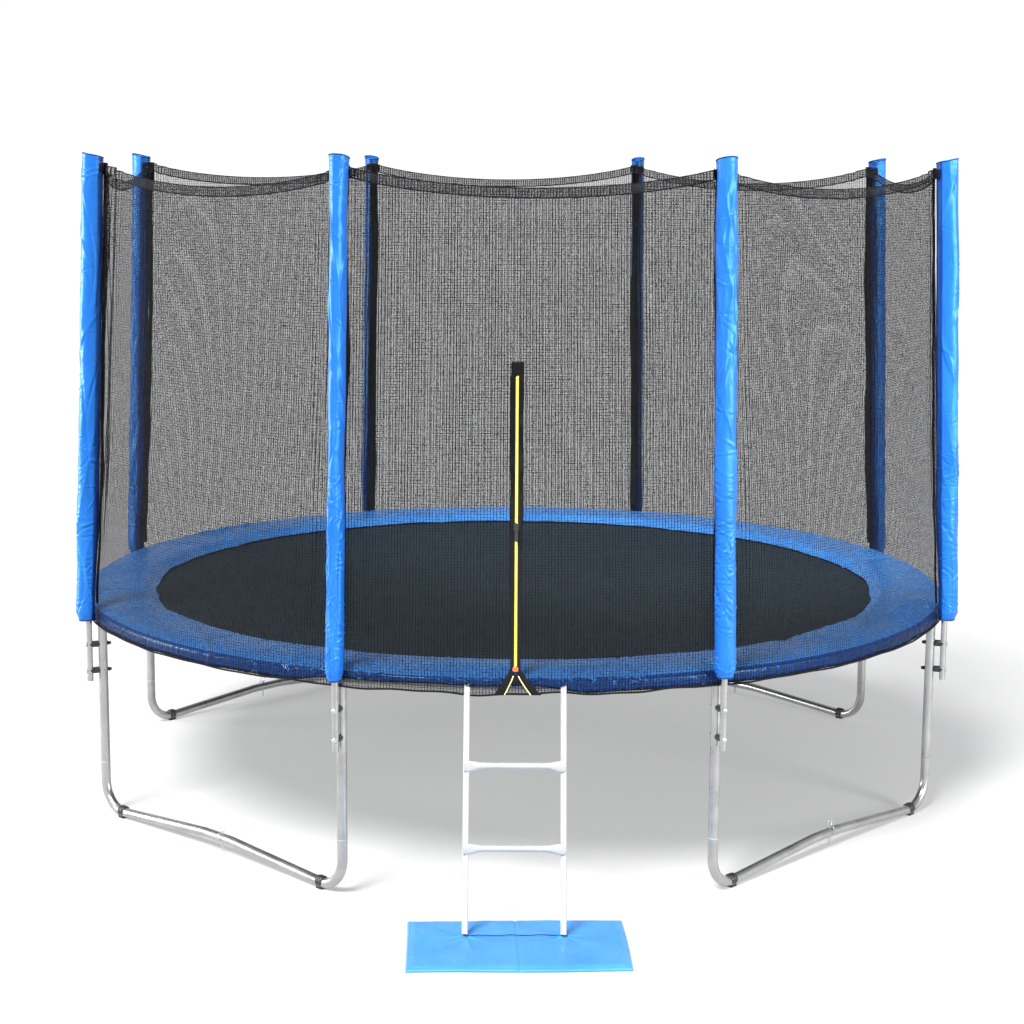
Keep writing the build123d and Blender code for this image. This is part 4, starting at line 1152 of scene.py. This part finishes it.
# ---------------------------------------------------------------- foot mat
def build_foot_mat():
    """Folding PVC mat: a centre crease, a dent and a dark cord between the ladder's feet, and creases that
    run from the ladder's feet.
    """
    low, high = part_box("foot_mat")
    rails_low, rails_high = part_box("ladder_lower_rails")
    rows, columns = 150, 230
    x = np.linspace(low.x, high.x, columns)
    y = np.linspace(low.y, high.y, rows)
    yy, xx = np.meshgrid(y, x, indexing="ij")
    u = (xx - low.x) / (high.x - low.x)
    v = (yy - low.y) / (high.y - low.y)
    bow = 0.008 * np.sin(v * math.pi)
    px = xx + bow * (u - 0.5) * 0.9 * np.where(u > 0.5, 1.0, -0.3)
    py = yy + 0.004 * np.sin(u * 7.0 + 0.5) * (1 - 2 * v)
    edge = np.minimum.reduce([u * 0.76, (1 - u) * 0.76, v * 0.46, (1 - v) * 0.46])
    puff = np.clip(edge / 0.03, 0, 1) ** 0.5
    top = 0.004 + (high.z - 0.0055) * puff
    foot_y = rails_low.y + 0.010
    feet = ((rails_low.x + 0.012, foot_y), (rails_high.x - 0.012, foot_y))
    for k, (fx, fy) in enumerate(feet):
        away = np.hypot(xx - fx, yy - fy)
        spin = np.arctan2(yy - fy, xx - fx)
        rays = np.abs(np.sin(spin * 3.5 + 0.8 * k + 3 * away)) ** 10
        top += 0.0055 * rays * np.exp(-away / 0.10) * np.clip(away / 0.02, 0, 1)
        top += 0.0030 * bell(away - 0.020, 0.010) - 0.0015 * bell(away, 0.011)
    middle = 0.5 * (low.x + high.x)
    top -= 0.0040 * bell(xx - middle, 0.004)
    top -= 0.0016 * bell(yy - foot_y - 0.018, 0.003)
    top += 0.0012 * np.sin(xx * 9.0 + 1.2) * np.sin(yy * 13.0) * puff
    span = (low.x, high.x, low.y, high.y)
    top += 0.0016 * creases(xx, yy, 5, 46, span, 0.11, 0.006, 0.9, 0.9) * puff
    top += 0.0011 * creases(xx, yy, 6, 60, span, 0.035, 0.003, 0.5, 0.9) * puff
    top -= 0.0016 * bell(edge - 0.012, 0.0022)
    top = np.clip(top, 0.0025, high.z + 0.004)
    bottom = np.full_like(top, 0.0003)
    upper = np.stack([px, py, top], -1)
    lower = np.stack([px, py, bottom], -1)
    size = rows * columns
    faces = grid_faces(rows, columns).tolist()
    faces += grid_faces(rows, columns, start=size)[:, ::-1].tolist()
    rim = list(range(columns))
    rim += [i * columns + columns - 1 for i in range(1, rows)]
    rim += [(rows - 1) * columns + j for j in range(columns - 2, -1, -1)]
    rim += [i * columns for i in range(rows - 2, 0, -1)]
    for a, b in zip(rim, rim[1:] + rim[:1]):
        faces.append([a, size + a, size + b, b])
    flat = pairs(xx, yy)
    mat = make_piece("step_mat", [upper, lower], faces, MAT_BLUE, "light_blue_pvc", cloth=[flat, flat])
    # a dark cord lying on the mat along the line between the ladder's feet
    cord_x = np.linspace(feet[0][0], feet[1][0], 40)
    cord_z = high.z + 0.0035 + 0.0012 * np.sin(cord_x * 60)
    seam = np.stack([cord_x, np.full(40, foot_y + 0.004), cord_z], 1)
    make_trim("step_mat_cord", [tube(seam, 0.0013, 6)])
    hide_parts("foot_mat")


build_foot_mat()


# ---------------------------------------------------------------- floor and light
def add_light(kind, name, place, aim, energy, **settings):
    data = bpy.data.lights.new(name, kind)
    data.energy = energy
    for key, value in settings.items():
        setattr(data, key, value)
    light = bpy.data.objects.new(name, data)
    bpy.context.scene.collection.objects.link(light)
    light.location = place
    light.rotation_euler = (Vector(aim) - Vector(place)).to_track_quat("-Z", "Y").to_euler()


def add_stage():
    """Pale floor, a pale horizon under a dimmer sky, one sun and two soft boxes."""
    shader = Shader("floor_paper")
    tone = shader.noise(shader.place(), 0.6, 2.0)
    shader.link("Base Color", shader.ramp(tone, (0.0, (0.38, 0.38, 0.38)), (1.0, (0.40, 0.40, 0.40))))
    shader.put(Roughness=0.9, Specular_IOR_Level=0.0, Emission_Color=(1, 1, 1, 1), Emission_Strength=0.30)
    half = 300.0
    corners = [(x * half, y * half, -0.0005) for x, y in ((-1, -1), (1, -1), (1, 1), (-1, 1))]
    floor = make_piece("floor", corners, [(0, 1, 2, 3)], shader.material, body=None)
    world = bpy.data.worlds.new("studio")
    world.use_nodes = True
    tree = world.node_tree
    place = tree.nodes.new("ShaderNodeTexCoord")
    parts = tree.nodes.new("ShaderNodeSeparateXYZ")
    ramp = tree.nodes.new("ShaderNodeValToRGB")
    tree.links.new(place.outputs["Generated"], parts.inputs[0])
    tree.links.new(parts.outputs["Z"], ramp.inputs["Fac"])
    low, high = ramp.color_ramp.elements
    low.position, low.color = 0.20, (1.06, 1.06, 1.06, 1.0)
    high.position, high.color = 0.42, (0.42, 0.43, 0.45, 1.0)
    tree.links.new(ramp.outputs["Color"], tree.nodes["Background"].inputs["Color"])
    bpy.context.scene.world = world
    add_light("SUN", "key", (-2.7, -3.9, 6.2), (0, 0, 0.4), 6.0, angle=math.radians(22))
    add_light("AREA", "left_softbox", (-7.5, 0.2, 2.0), (-0.8, 0, 1.6), 420, shape="DISK", size=2.6)
    add_light("AREA", "right_softbox", (6.4, -6.0, 2.6), (0.9, -0.6, 1.7), 620, shape="DISK", size=2.6)
    bpy.context.scene.view_settings.view_transform = "Standard"


add_stage()
